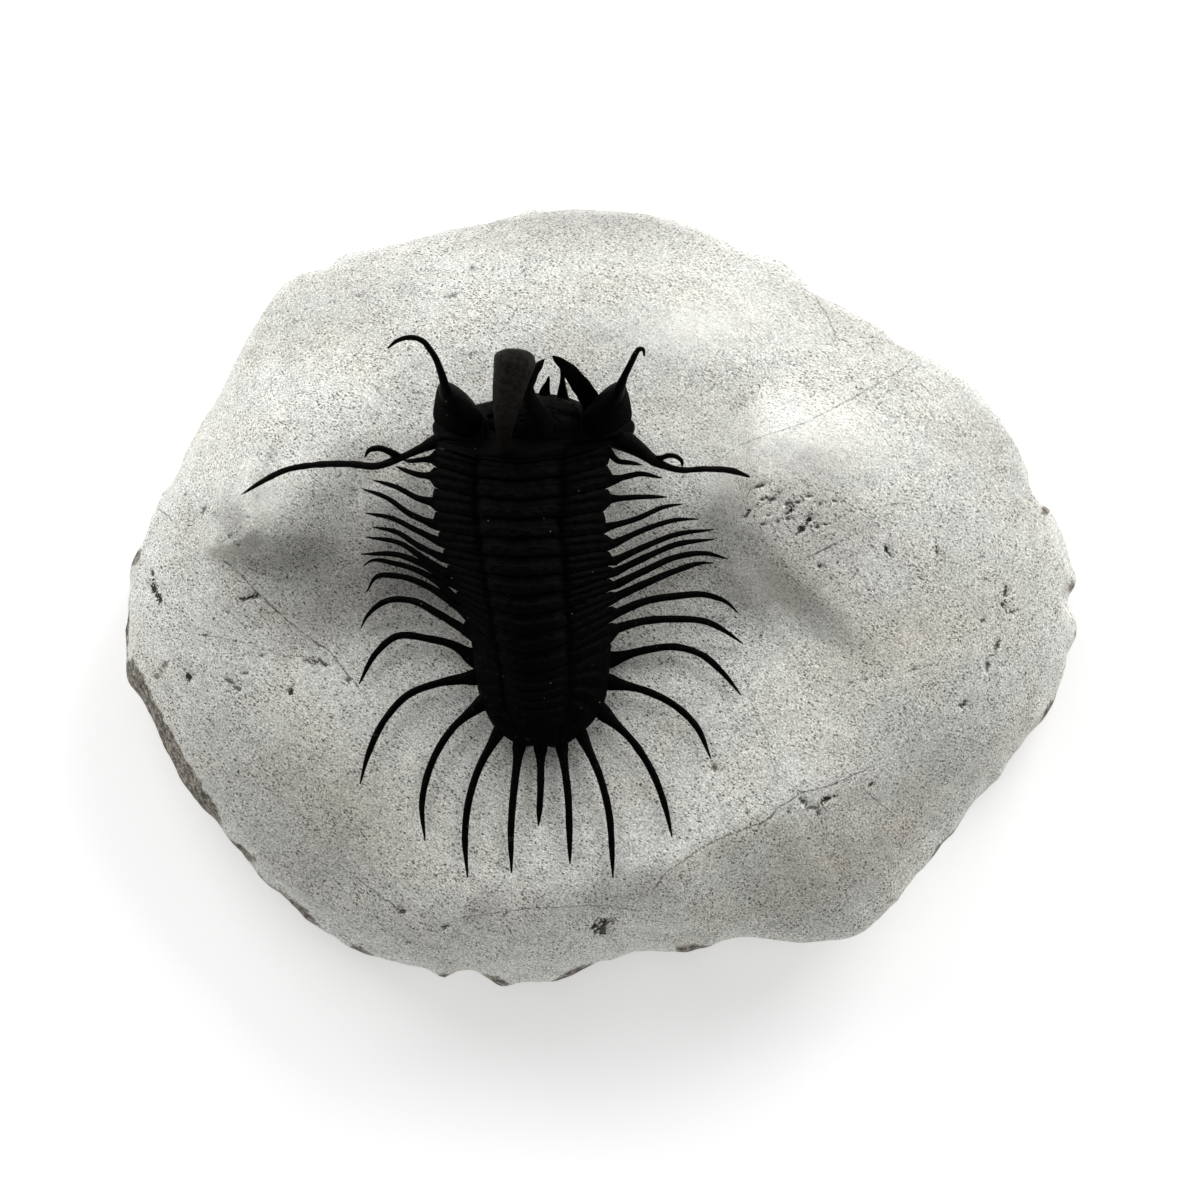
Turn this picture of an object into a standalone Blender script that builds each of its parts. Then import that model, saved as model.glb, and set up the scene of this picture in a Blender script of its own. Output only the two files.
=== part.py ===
"""Spiny trilobite on its piece of limestone, as separate solids.

Metres, +Z up. The stone lies on its flat underside at z = 0, with the origin
under its middle. +Y is the direction the head faces and +X is the animal's
right-hand side. The pieces are the stone, the head, eleven body segments and
the tail shield, each with the spines that grew from it.
"""

import math

import bmesh
import bpy
import numpy as np

MM = 0.001

# Line of sight: the courses of the spines and edges are read from a picture
# taken from above the tail, and each picture point gets a height of its own
SIGHT_DISTANCE = 0.450
SIGHT_ELEVATION = math.radians(80.0)
SIGHT_TARGET = (0.0 * MM, -2.9 * MM, 24.0 * MM)
PICTURE_CENTRE = 600.0
BODY_WIDTH = 23.0 * MM
BODY_WIDTH_PIXELS = 174.0
PIXEL = BODY_WIDTH / BODY_WIDTH_PIXELS

# Clear space between two pieces that touch in the real thing
GAP = 0.3 * MM

# Stone
FLOOR_HEIGHT = 24.0 * MM
HEAD_END_RISE = 3.0 * MM
RIM_HEIGHT = 15.0 * MM
TAIL_RIM_HEIGHT = 21.0 * MM
WIDEST_HEIGHT = 9.0 * MM
BASE_INSET = 3.5 * MM
LEFT_REST_HEIGHT = 4.8 * MM
RIGHT_REST_HEIGHT = 4.6 * MM
CORE_BOTTOM = 18.0 * MM
# Rings of the flank: share of the way out to the widest line, and of the rim's height
FLANK = ((0.60, 0.78), (1.0, 0.45), (0.8, 0.18))
STONE_SECTORS = 56
STONE_RINGS = (0.15, 0.30, 0.39, 0.46, 0.52, 0.58, 0.64, 0.70, 0.76, 0.81, 0.86, 0.91, 0.96, 1.0)
# Directions of the two rests from the middle and the spread of the finer
# sectors there, in degrees
REST_SECTORS = ((164.0, 13.0), (22.0, 24.0))

# Body: thickness of the shell, share of the half width taken by the axis
SHELL = 1.5 * MM
SHELL_TUCK = 0.7 * MM
AXIS_SHARE = 0.46
SEGMENTS = 11
BAND_SECTIONS = 9
BAND_SIDES = 8
BAND_REACH = 0.97
RIB_RISE = 0.45 * MM
# Share of the rib's rise at the four places along a band's top
RIB_PROFILE = np.array((0.0, 0.8, 1.0, 0.25))

# Spine radii at the foot, along the shaft and at the tip
THORAX_RADII = (0.60 * MM, 0.36 * MM, 0.13 * MM)
TAIL_RADII = (1.0 * MM, 0.46 * MM, 0.14 * MM)
TIP_CLEARANCE = 0.9 * MM
THORAX_SPINE_ARCH = 0.9 * MM
TAIL_SPINE_ARCH = 0.3 * MM
TAIL_SPINE_HEIGHT = 25.5 * MM
THORAX_SPINE_POINTS = 7
TAIL_SPINE_POINTS = 8
# How far a tail spine starts inside the shield's edge, and its radius there
SPINE_SINK = 1.1 * MM
SUNK_RADIUS = 0.5 * MM

# Finish of the fossil shell and of the limestone
SHELL_COLOUR = (0.012, 0.011, 0.010)
SHELL_ROUGHNESS = 0.42
STONE_COLOUR = (0.60, 0.59, 0.56)
STONE_ROUGHNESS = 0.9
CREASE_ANGLE = math.radians(40.0)

# Head: height of its flat underside, and the glabella as a squarish lobe
HEAD_UNDERSIDE = FLOOR_HEIGHT + HEAD_END_RISE + GAP
GLABELLA_PIXEL = (534, 424)
GLABELLA_HEIGHT = 31.0 * MM
GLABELLA_RADII = (6.3 * MM, 4.2 * MM, 7.2 * MM)
GLABELLA_POWER = 2.8

# Picture points of the stone's outline, clockwise from the top
OUTLINE_PIXELS = (
    (590, 215), (640, 220), (700, 240), (775, 275), (860, 325), (905, 350),
    (965, 385), (1010, 445), (1035, 505), (1060, 530), (1075, 600), (1062, 690),
    (1015, 750), (975, 805), (905, 890), (880, 925), (800, 940), (700, 948),
    (650, 948), (580, 965), (555, 980), (500, 985), (440, 975), (370, 945),
    (330, 905), (270, 850), (190, 780), (150, 705), (127, 650), (135, 560),
    (160, 500), (210, 400), (245, 340), (275, 290), (370, 250), (430, 237),
    (540, 217),
)

# Picture points of the thoracic spines, foot first, head end first
LEFT_SPINES = (
    ((432, 459), (420, 460), (408, 461), (403, 460)),
    ((431, 476), (420, 475), (408, 471.5), (396, 466.5)),
    ((433, 502), (420, 499), (396, 487), (373, 480)),
    ((433, 524), (410, 514), (387, 498), (362, 488.5)),
    ((440, 542), (416, 530), (391, 518), (365, 513)),
    ((443, 558), (419, 546), (396, 532), (373, 527)),
    ((448, 573), (426, 559.5), (400, 543), (366, 537)),
    ((453, 584), (426, 566), (400, 555), (361, 554)),
    ((457, 598), (430, 576), (395, 563), (370, 561), (363, 566)),
    ((462, 609), (426, 585), (399, 576), (376, 577), (366.5, 592)),
    ((464, 629), (439, 614), (412, 600.5), (386, 601), (366, 617.5), (361, 628)),
)
RIGHT_SPINES = (
    ((609, 453), (618, 461), (631, 463), (642, 465)),
    ((613, 480), (625, 477), (639, 474), (662, 478)),
    ((610, 499), (625, 498), (641, 497), (667, 497)),
    ((604, 528), (636, 519), (666, 506.5), (683, 504)),
    ((613, 544), (646, 529), (676, 520), (699, 519)),
    ((612, 562), (646, 543), (676, 532), (714, 529.5)),
    ((613, 573), (646, 554.5), (676, 542), (715, 539)),
    ((613, 586), (646, 569), (676, 556), (707, 554), (728, 559)),
    ((615, 596), (646, 580), (676, 568), (702, 562), (713, 564)),
    ((615, 613.5), (646, 601), (676, 596), (707, 595), (729, 604), (738, 613)),
    ((615, 629), (639, 622), (676, 619), (707, 622), (731, 635), (743, 644)),
)

# Picture points of the tail shield's spines, round its edge from the left
TAIL_SPINES = (
    ((471, 656), (453, 645), (430, 639), (395, 637), (377, 652), (359, 684)),
    ((472, 677.5), (439, 683), (408, 695), (386, 718), (368, 755), (360, 784)),
    ((481, 704), (453, 728), (433, 760), (422, 803), (425, 841)),
    ((497, 735), (479, 768), (468, 805), (465, 835), (467.5, 878)),
    ((519, 748), (514.5, 784.5), (511, 829), (511.5, 873)),
    ((540.6, 751), (540.6, 785), (538.5, 826)),
    ((562, 749), (568, 795), (569.5, 837), (570, 864)),
    ((582, 736), (600, 777), (609, 813.5), (612, 851), (613, 878)),
    ((604.5, 714), (635, 742), (656.5, 777), (668, 809), (672.5, 837)),
    ((613, 683), (646, 689), (675, 703), (697, 725), (711, 759)),
    ((613, 659), (646, 650), (676, 647), (702, 655), (722, 672), (741, 695)),
)

# What grew from the head: for each course its picture point, height and
# radius, both in millimetres, from the foot to the tip
LEFT_EYE = (
    (463, 420, 31.0, 3.9), (462, 412, 33.0, 3.6), (456, 402, 36.0, 2.85),
    (449, 391, 39.2, 1.35), (445, 383, 41.0, 0.62), (440, 369, 44.0, 0.50),
    (431, 351, 47.0, 0.42), (420, 339, 48.6, 0.36), (405, 338, 49.0, 0.28),
    (388, 348, 48.0, 0.12),
)
RIGHT_EYE = (
    (602, 420, 31.0, 3.9), (603, 413, 33.0, 3.7), (607, 403, 36.0, 3.0),
    (616, 390, 39.2, 1.45), (622.5, 380.5, 41.2, 0.60), (631, 364, 45.0, 0.42),
    (637, 350.5, 47.5, 0.34), (642, 348, 47.8, 0.28), (644, 356, 47.2, 0.12),
)
LEFT_GENAL = (
    (450, 436, 30.5, 1.0), (435, 442, 31.0, 0.85), (420, 449, 31.4, 0.60),
    (400, 458, 31.9, 0.50), (377, 466, 32.4, 0.45), (350, 464, 32.8, 0.42),
    (314, 465, 33.0, 0.40), (286, 470, 32.8, 0.36), (258, 484, 32.2, 0.28),
    (241, 495, 31.6, 0.14),
)
LEFT_HOOK = (
    (406, 456, 31.8, 0.38), (390, 451, 32.6, 0.36), (375, 449, 33.2, 0.33),
    (366, 454, 33.2, 0.26), (363, 458, 33.0, 0.13),
)
RIGHT_GENAL = (
    (616, 434, 30.5, 1.0), (634, 443, 31.0, 0.90), (646, 453, 31.4, 0.75),
    (656, 463, 31.8, 0.55), (677, 469.5, 32.3, 0.42), (707, 469, 32.6, 0.40),
    (733, 471, 32.2, 0.40), (750, 477, 31.7, 0.28),
)
RIGHT_HOOK = (
    (652, 459, 31.7, 0.40), (661, 458, 32.4, 0.36), (669, 455.5, 33.0, 0.33),
    (677, 457, 33.2, 0.30), (682, 462, 33.1, 0.24), (682, 467, 32.9, 0.13),
)
NECK_SPINE = (
    (503.5, 454, 35.8, 0.55), (503.5, 441, 39.5, 0.95), (505, 418, 43.5, 1.53),
    (507.5, 395, 47.0, 1.95), (512, 375, 49.8, 2.37), (515.5, 360, 52.0, 2.62),
    (516, 352.5, 52.9, 2.05), (516, 350, 53.2, 0.90),
)
BROW_TINE = (
    (544, 431, 36.0, 2.2), (538, 412, 39.0, 1.4), (530, 397, 42.0, 0.90),
    (528.5, 382, 44.5, 0.42), (532, 369, 46.0, 0.34), (544, 359, 47.0, 0.12),
)
RIGHT_BLADE = (
    (594, 407, 30.5, 0.45), (586, 393, 33.0, 0.45), (577, 380.5, 35.5, 0.42),
    (566, 367, 37.6, 0.28), (552.5, 356, 39.0, 0.10),
)
LEFT_BLADE = (
    (500, 407, 30.5, 0.45), (508, 393, 33.0, 0.45), (517, 380.5, 35.5, 0.42),
    (528, 367, 37.6, 0.28), (540, 359, 39.0, 0.10),
)
RIGHT_STRUT = (
    (568, 402, 31.0, 0.85), (566, 391, 33.0, 0.60), (563.5, 380, 35.4, 0.33),
    (561, 367, 37.6, 0.28), (556, 359, 38.8, 0.14),
)
LEFT_STRUT = (
    (524, 402, 31.0, 0.85), (526, 391, 33.0, 0.60), (529, 380, 35.4, 0.33),
    (532, 367, 37.6, 0.28), (538, 361, 38.8, 0.14),
)
MIDDLE_SPIKE = (
    (545, 400, 31.0, 0.70), (545.5, 390, 33.0, 0.50), (549, 376, 35.2, 0.12),
)
# Course, samples, sides and how many times wider than thick
HEAD_GROWTHS = (
    ("eye_left", LEFT_EYE, 14, 9, 1.0),
    ("eye_right", RIGHT_EYE, 13, 9, 1.0),
    ("genal_left", LEFT_GENAL, 12, 5, 1.0),
    ("hook_left", LEFT_HOOK, 6, 5, 1.0),
    ("genal_right", RIGHT_GENAL, 10, 5, 1.0),
    ("hook_right", RIGHT_HOOK, 6, 5, 1.0),
    ("neck_spine", NECK_SPINE, 9, 9, 1.0),
    ("brow_tine", BROW_TINE, 8, 7, 1.0),
    ("blade_right", RIGHT_BLADE, 6, 6, 3.0),
    ("blade_left", LEFT_BLADE, 6, 6, 3.0),
    ("strut_right", RIGHT_STRUT, 5, 5, 1.0),
    ("strut_left", LEFT_STRUT, 5, 5, 1.0),
    ("spike", MIDDLE_SPIKE, 4, 5, 1.0),
)

# Body sheet rows: station, left edge, crest and right edge as picture points,
# edge height and crest height in millimetres. Stations 0 to 11 are the joints
# of the segments, below 0 is the head and above 11 the tail shield
HEAD_ROWS = (
    (-3.0, (462, 408), (532, 404), (603, 407), 29.0, 31.0),
    (-2.0, (438, 420), (532, 417), (629, 419), 29.5, 34.5),
    (-1.0, (434, 437), (528, 437), (632, 436), 29.8, 36.6),
)
TAIL_ROWS = (
    (12.5, (474, 668), (530, 696), (611, 672), 26.3, 31.6),
    (14.0, (481, 702), (533, 717), (603, 709), 26.0, 30.0),
    (15.0, (497, 731), (537, 733), (584, 732), 25.9, 28.4),
    (15.7, (519, 745), (540, 743), (562, 746), 25.8, 27.2),
    (16.0, (534, 749.5), (540.6, 749), (547, 749.5), 25.8, 26.4),
)
HEAD_STATIONS = (-3.0, -2.5, -2.0, -1.3, -0.6, -0.12)
TAIL_STATIONS = (11.07, 12.0, 13.0, 14.0, 15.0, 15.7)
# The rock core begins a little behind the head and ends just inside the tail
CORE_STATIONS = (0.35, *range(1, SEGMENTS + 1), *TAIL_STATIONS[1:-1], 15.55)
FIRST_JOINT_EDGES = ((434, 449), (614, 447))
LAST_JOINT_EDGES = ((470, 641), (613, 644))
CREST_PIXELS = ((517, 463), (516, 499), (519, 546), (523, 601), (529, 673))
CREST_HEIGHTS = (37.2, 38.0, 37.8, 36.4, 33.0)
EDGE_HEIGHTS = (30.0, 29.4, 28.4, 27.3, 26.6)


def mix(a, b, share):
    """Straight blend from a to b."""
    return a + (b - a) * share


def ramp(value, start, end):
    """Smooth step from 0 at start to 1 at end."""
    share = np.clip((value - start) / (end - start), 0.0, 1.0)
    return share * share * (3.0 - 2.0 * share)


def smooth(points, count):
    """Even samples of the smooth curve through the points.

    The curve is a cubic between neighbours whose slope at a point is that of
    the parabola through it and the points beside it.
    """
    points = np.asarray(points, dtype=float)
    lengths = np.linalg.norm(np.diff(points, axis=0), axis=1)
    knots = np.concatenate(([0.0], np.cumsum(lengths)))
    return curve_at(knots, points, np.linspace(0.0, knots[-1], count))


def curve_at(knots, values, places):
    """Cubic through values at uneven knots, read at the places."""
    knots = np.asarray(knots, dtype=float)
    values = np.asarray(values, dtype=float)
    slopes = np.gradient(values, knots, axis=0)
    places = np.atleast_1d(np.asarray(places, dtype=float))
    index = np.clip(np.searchsorted(knots, places, side="right") - 1, 0, len(knots) - 2)
    span = knots[index + 1] - knots[index]
    t = (places - knots[index]) / span
    shape = (-1,) + (1,) * (values.ndim - 1)
    t = t.reshape(shape)
    span = span.reshape(shape)
    start_part = (2 * t**3 - 3 * t**2 + 1) * values[index]
    start_slope = (t**3 - 2 * t**2 + t) * span * slopes[index]
    end_part = (3 * t**2 - 2 * t**3) * values[index + 1]
    end_slope = (t**3 - t**2) * span * slopes[index + 1]
    return start_part + start_slope + end_part + end_slope


def point_at(pixels, height):
    """Points at the given heights on the lines of sight through the pixels."""
    pixels = np.asarray(pixels, dtype=float)
    height = np.broadcast_to(np.asarray(height, dtype=float), pixels.shape[:-1])
    back = np.array((0.0, -math.cos(SIGHT_ELEVATION), math.sin(SIGHT_ELEVATION)))
    up = np.array((0.0, math.sin(SIGHT_ELEVATION), math.cos(SIGHT_ELEVATION)))
    right = np.array((1.0, 0.0, 0.0))
    eye = np.array(SIGHT_TARGET) + back * SIGHT_DISTANCE
    across = (pixels[..., 0:1] - PICTURE_CENTRE) * PIXEL / SIGHT_DISTANCE
    along = (PICTURE_CENTRE - pixels[..., 1:2]) * PIXEL / SIGHT_DISTANCE
    ray = right * across + up * along - back
    reach = (height[..., None] - eye[2]) / ray[..., 2:3]
    return eye + ray * reach


def ridge(x, y, start, end, sides, ends):
    """1 on the line from start to end, falling to 0 across it and at its ends.

    The falls are as wide as the two sides say, right and then left of the
    line seen from start towards end, and as long as the two ends say.
    """
    direction = np.subtract(end, start)
    length = math.hypot(*direction)
    direction = direction / length
    along = (x - start[0]) * direction[0] + (y - start[1]) * direction[1]
    side = (x - start[0]) * direction[1] - (y - start[1]) * direction[0]
    beyond = np.maximum(-along, 0.0) / ends[0] + np.maximum(along - length, 0.0) / ends[1]
    across = np.where(side > 0.0, side / sides[0], -side / sides[1])
    return 1.0 - ramp(np.hypot(beyond, across), 0.28, 1.0)


def mound(x, y, centre, radii):
    """Bell-shaped mound of height 1."""
    return np.exp(-0.5 * (((x - centre[0]) / radii[0]) ** 2 + ((y - centre[1]) / radii[1]) ** 2))


def ground(x, y):
    """Height of the stone's worked top under a plan point, before its rim.

    A floor that steps up towards the head, the left rest as a short blunt
    nose with a groove outside it, the right rest as a ridge that fades to the
    tail side with a wide shoulder outside it, and a bowl beside each. Places
    and widths below are in millimetres from the middle of the picture.
    """
    x = x / MM
    y = (y - SIGHT_TARGET[1]) / MM
    left = ridge(x, y, (-48.4, 8.6), (-52.0, 20.0), (4.2, 4.8), (4.4, 18.0))
    right = ridge(x, y, (33.0, 1.0), (18.8, 15.6), (22.0, 5.8), (22.0, 9.0))
    fade = mix(0.35, 1.0, ramp(y - x, -30.0, -6.0))
    bowls = 2.4 * mound(x, y, (-37.5, 2.0), (6.0, 6.5)) + 1.2 * mound(x, y, (17.0, -3.0), (6.0, 8.0))
    groove = 1.2 * mound(x, y, (-55.0, 6.5), (2.6, 4.0))
    return (
        FLOOR_HEIGHT
        + HEAD_END_RISE * ramp(y, -4.0, 15.0)
        + LEFT_REST_HEIGHT * left
        + RIGHT_REST_HEIGHT * right * fade
        - (bowls + groove) * MM
    )


def outline_radius(angles):
    """Distance from the stone's middle to its widest outline at each angle.

    The outline is read lower on the tail side, where the flank shows, than on
    the head side, where the top hides it.
    """
    corners = OUTLINE_PIXELS[-2:] + OUTLINE_PIXELS + OUTLINE_PIXELS[:3]
    pixels = smooth(corners, 12 * len(corners))
    head_side = ramp(PICTURE_CENTRE - pixels[:, 1], -250.0, 250.0)
    points = point_at(pixels, WIDEST_HEIGHT * mix(0.7, 1.6, head_side))
    where = np.arctan2(points[:, 1], points[:, 0])
    order = np.argsort(where)
    radius = np.hypot(points[:, 0], points[:, 1])
    return np.interp(angles, where[order], radius[order], period=2 * math.pi)


def sector_angles():
    """Directions of the stone's sectors, closer together across the rests."""
    degrees = np.linspace(-180.0, 180.0, 721)
    density = np.ones(len(degrees))
    for middle, spread in REST_SECTORS:
        density += np.exp(-0.5 * ((degrees - middle) / spread) ** 2)
    total = np.cumsum(density) - density[0]
    shares = np.arange(STONE_SECTORS) / STONE_SECTORS
    return np.radians(np.interp(shares * total[-1], total, degrees))


def stone_rings():
    """Rings of the stone from the middle of its top, out and down to its base.

    Most of the rim is a long rounded shoulder. Along the tail side the top
    stays level and ends at an edge, with a steep face below it that widens
    into a bevel at the right.
    """
    angles = sector_angles()
    outward = np.stack((np.cos(angles), np.sin(angles)), axis=1)
    degrees = np.degrees(angles)
    edged = ramp(degrees, -134.0, -112.0) * (1.0 - ramp(degrees, -48.0, -28.0))
    bevel = np.exp(-0.5 * ((degrees + 50.0) / 13.0) ** 2)
    widest = outline_radius(angles)
    top = widest - (2.6 + 1.8 * edged + 10.0 * bevel) * MM
    rim = mix(RIM_HEIGHT, TAIL_RIM_HEIGHT, edged)
    shoulder = mix(0.60, 0.86, edged)
    rings = []
    for share in STONE_RINGS:
        plan = outward * (top * share)[:, None]
        height = ground(plan[:, 0], plan[:, 1])
        drop = np.clip((share - shoulder) / (1.0 - shoulder), 0.0, 1.0) ** 2
        rings.append(np.column_stack((plan, mix(height, rim, drop))))
    for share, level in FLANK:
        plan = outward * mix(top, widest, share)[:, None]
        rings.append(np.column_stack((plan, rim * level)))
    plan = outward * (widest - BASE_INSET)[:, None]
    rings.append(np.column_stack((plan, np.zeros(len(angles)))))
    return rings


class BodySheet:
    """Outer surface of the animal, by station along it and place across it.

    At a station the surface is an arch from the left edge over the crest to
    the right edge: a quarter of an ellipse on each side with the raised axis
    added in the middle. Lowering it and tucking in its edges gives the
    underside of the shell and, once more, the rock that fills it.
    """

    def __init__(self):
        joints = np.arange(SEGMENTS + 1)
        share = joints / SEGMENTS
        marks = np.linspace(0.0, 1.0, len(CREST_HEIGHTS))
        crest_height = curve_at(marks, CREST_HEIGHTS, share)
        edge_height = curve_at(marks, EDGE_HEIGHTS, share)
        crest = smooth(CREST_PIXELS, SEGMENTS + 1)
        left = self.joint_edges(LEFT_SPINES, FIRST_JOINT_EDGES[0], LAST_JOINT_EDGES[0])
        right = self.joint_edges(RIGHT_SPINES, FIRST_JOINT_EDGES[1], LAST_JOINT_EDGES[1])
        rows = [(station, left[station], crest[station], right[station],
                 edge_height[station], crest_height[station]) for station in joints]
        rows = list(HEAD_ROWS) + rows + list(TAIL_ROWS)
        self.stations = np.array([row[0] for row in rows])
        edges = np.array([row[4] for row in rows]) * MM
        crests = np.array([row[5] for row in rows]) * MM
        self.left = point_at([row[1] for row in rows], edges)
        self.crest = point_at([row[2] for row in rows], crests)
        self.right = point_at([row[3] for row in rows], edges)

    @staticmethod
    def joint_edges(spines, first, last):
        """Edge points of the joints: halfway between the feet of the spines."""
        feet = np.array([spine[0] for spine in spines], dtype=float)
        halves = (feet[:-1] + feet[1:]) / 2
        return np.vstack((first, halves, last))

    def at(self, station, across, lowered=0.0, tucked=0.0):
        """Surface points; across runs from -1 at the left edge to 1 at the right."""
        station, across = np.broadcast_arrays(station, across)
        flat = station.ravel()
        crest = curve_at(self.stations, self.crest, flat)
        left = curve_at(self.stations, self.left, flat)
        right = curve_at(self.stations, self.right, flat)
        place = across.ravel()
        edge = np.where(place[:, None] < 0.0, left, right)
        away = np.abs(place)
        half_width = np.maximum(np.abs(edge[:, 0] - crest[:, 0]), 2.0 * tucked)
        side = away * (1.0 - tucked / half_width)
        arch = 0.74 * np.sqrt(np.clip(1.0 - away**2.6, 0.0, 1.0))
        axis = 0.26 * np.sqrt(np.clip(1.0 - (away / AXIS_SHARE) ** 2, 0.0, 1.0))
        x = mix(crest[:, 0], edge[:, 0], side)
        y = mix(crest[:, 1], edge[:, 1], away**1.6)
        z = mix(edge[:, 2], crest[:, 2], arch + axis) - lowered
        return np.stack((x, y, z), axis=-1).reshape(station.shape + (3,))


def mesh_object(name, vertices, faces, material):
    """Object from vertices and faces, with its normals turned outwards."""
    mesh = bpy.data.meshes.new(name)
    mesh.from_pydata([tuple(v) for v in vertices], [], faces)
    work = bmesh.new()
    work.from_mesh(mesh)
    bmesh.ops.recalc_face_normals(work, faces=work.faces)
    bmesh.ops.triangulate(work, faces=[face for face in work.faces if len(face.verts) == 4])
    work.to_mesh(mesh)
    work.free()
    if material is not None:
        mesh.materials.append(material)
    mesh.shade_smooth()
    mesh.set_sharp_from_angle(angle=CREASE_ANGLE)
    made = bpy.data.objects.new(name, mesh)
    bpy.context.collection.objects.link(made)
    return made


def skin(rings, start=None, end=None):
    """Vertices and faces of a closed tube over rings of equal count.

    A start or end point closes that end with a fan of triangles. Without one
    the end is closed by strips that join the two halves of the ring.
    """
    rings = np.asarray(rings, dtype=float)
    count, sides = rings.shape[:2]
    vertices = list(rings.reshape(-1, 3))
    faces = []
    for ring in range(count - 1):
        for side in range(sides):
            after = (side + 1) % sides
            here = ring * sides
            faces.append((here + side, here + after, here + sides + after, here + sides + side))
    for point, ring in ((start, 0), (end, count - 1)):
        loop = [ring * sides + side for side in range(sides)]
        if point is None:
            strips = range(sides // 2 - 1)
            faces.extend((loop[k], loop[k + 1], loop[-k - 2], loop[-k - 1]) for k in strips)
            continue
        vertices.append(point)
        pole = len(vertices) - 1
        faces.extend((loop[side], loop[(side + 1) % sides], pole) for side in range(sides))
    return vertices, faces


def unit(vectors):
    """Vectors scaled to length 1."""
    return vectors / np.linalg.norm(vectors, axis=-1, keepdims=True)


def tube_rings(path, radii, sides, lead=(0.0, 0.0, 1.0), flatness=1.0, turn=0.5):
    """Rings round a path, their first axis carried along from the lead vector.

    flatness scales the rings across their first axis, and turn sets where the
    first vertex lies, in steps of one side.
    """
    path = np.asarray(path, dtype=float)
    radii = np.broadcast_to(np.asarray(radii, dtype=float), (len(path),))
    heading = unit(np.gradient(path, axis=0))
    angles = (np.arange(sides) + turn) * 2 * math.pi / sides
    upward = np.asarray(lead, dtype=float)
    rings = []
    for point, radius, ahead in zip(path, radii, heading):
        upward = unit(upward - ahead * np.dot(upward, ahead))
        forward = np.cross(upward, ahead)
        circle = np.outer(np.cos(angles), forward) * flatness + np.outer(np.sin(angles), upward)
        rings.append(point + circle * radius)
    return rings


def taper(radii, count, foot_share=0.14):
    """Radii along a spine: flared foot, long even shaft, fine tip."""
    foot, shaft, tip = radii
    along = np.linspace(0.0, 1.0, count)
    body = mix(shaft, tip, along**1.5)
    return body + (foot - shaft) * (1.0 - ramp(along, 0.0, foot_share * 2.0))


def course(pixels, foot_height, arch, clearance, count):
    """3-D course of a spine from its picture points.

    Its height goes from the foot's to just above the ground at the tip, with
    an arch between them, and never nearer the ground than the clearance.
    """
    flat = smooth(pixels, count)
    along = np.linspace(0.0, 1.0, count)
    height = np.full(count, foot_height)
    for _ in range(5):
        points = point_at(flat, height)
        lowest = ground(points[:, 0], points[:, 1]) + clearance
        height = mix(foot_height, lowest[-1], along) + arch * 4.0 * along * (1.0 - along)
        height = np.maximum(height, lowest)
    return point_at(flat, height)


def spine_object(name, path, radii, sides=6, flatness=1.0, lead=(0.0, 0.0, 1.0)):
    """Closed spine along a path, for joining to the piece it grew from."""
    rings = tube_rings(path, radii, sides, lead=lead, flatness=flatness)
    vertices, faces = skin(rings[:-1], start=path[0], end=path[-1])
    return mesh_object(name, vertices, faces, None)


def sheet_object(name, upper, lower, material):
    """Closed solid between two grids of points that lie one above the other."""
    vertices, faces = skin(np.concatenate((upper, lower[:, ::-1]), axis=1))
    return mesh_object(name, vertices, faces, material)


def pressed(points, height):
    """The same points pressed flat at a height."""
    flat = points.copy()
    flat[..., 2] = height
    return flat


def lobe_object(name, centre, radii, power, sides=14):
    """Closed squarish lobe: superellipse rings that draw in to a rounded top."""
    angles = np.arange(sides) * 2 * math.pi / sides
    cosine = np.cos(angles)
    sine = np.sin(angles)
    across = np.sign(cosine) * np.abs(cosine) ** (2.0 / power) * radii[0]
    along = np.sign(sine) * np.abs(sine) ** (2.0 / power) * radii[1]
    rings = []
    for lift in (0.0, 0.45, 0.72, 0.90):
        width = (1.0 - lift**power) ** (1.0 / power)
        height = np.full(sides, lift * radii[2])
        rings.append(centre + np.column_stack((across * width, along * width, height)))
    vertices, faces = skin(rings, end=centre + np.array((0.0, 0.0, radii[2])))
    return mesh_object(name, vertices, faces, None)


def growth_object(name, rows, count, sides, flatness):
    """Closed solid along a course of picture points, heights and radii."""
    rows = smooth(rows, count)
    radii = np.maximum(rows[:, 3], 0.1) * MM
    path = point_at(rows[:, :2], rows[:, 2] * MM)
    lowest = ground(path[:, 0], path[:, 1]) + radii + 2.0 * GAP
    path = point_at(rows[:, :2], np.maximum(rows[:, 2] * MM, lowest))
    return spine_object(name, path, radii, sides, flatness, lead=(0.0, -0.5, 1.0))


def fuse(body, helpers):
    """Join the helper solids to the body with exact unions, then drop them."""
    for helper in helpers:
        union = body.modifiers.new(helper.name, "BOOLEAN")
        union.operation = "UNION"
        union.solver = "EXACT"
        union.object = helper
    depsgraph = bpy.context.evaluated_depsgraph_get()
    joined = bpy.data.meshes.new_from_object(body.evaluated_get(depsgraph))
    body.modifiers.clear()
    plain = body.data
    body.data = joined
    bpy.data.meshes.remove(plain)
    for helper in helpers:
        shape = helper.data
        bpy.data.objects.remove(helper)
        bpy.data.meshes.remove(shape)
    joined.name = body.name
    joined.shade_smooth()
    joined.set_sharp_from_angle(angle=CREASE_ANGLE)


def finish(name, colour, roughness):
    """Principled material of one piece."""
    material = bpy.data.materials.new(name)
    material.use_nodes = True
    shader = material.node_tree.nodes["Principled BSDF"]
    shader.inputs["Base Color"].default_value = (*colour, 1.0)
    shader.inputs["Roughness"].default_value = roughness
    shader.inputs["Metallic"].default_value = 0.0
    return material


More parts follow.
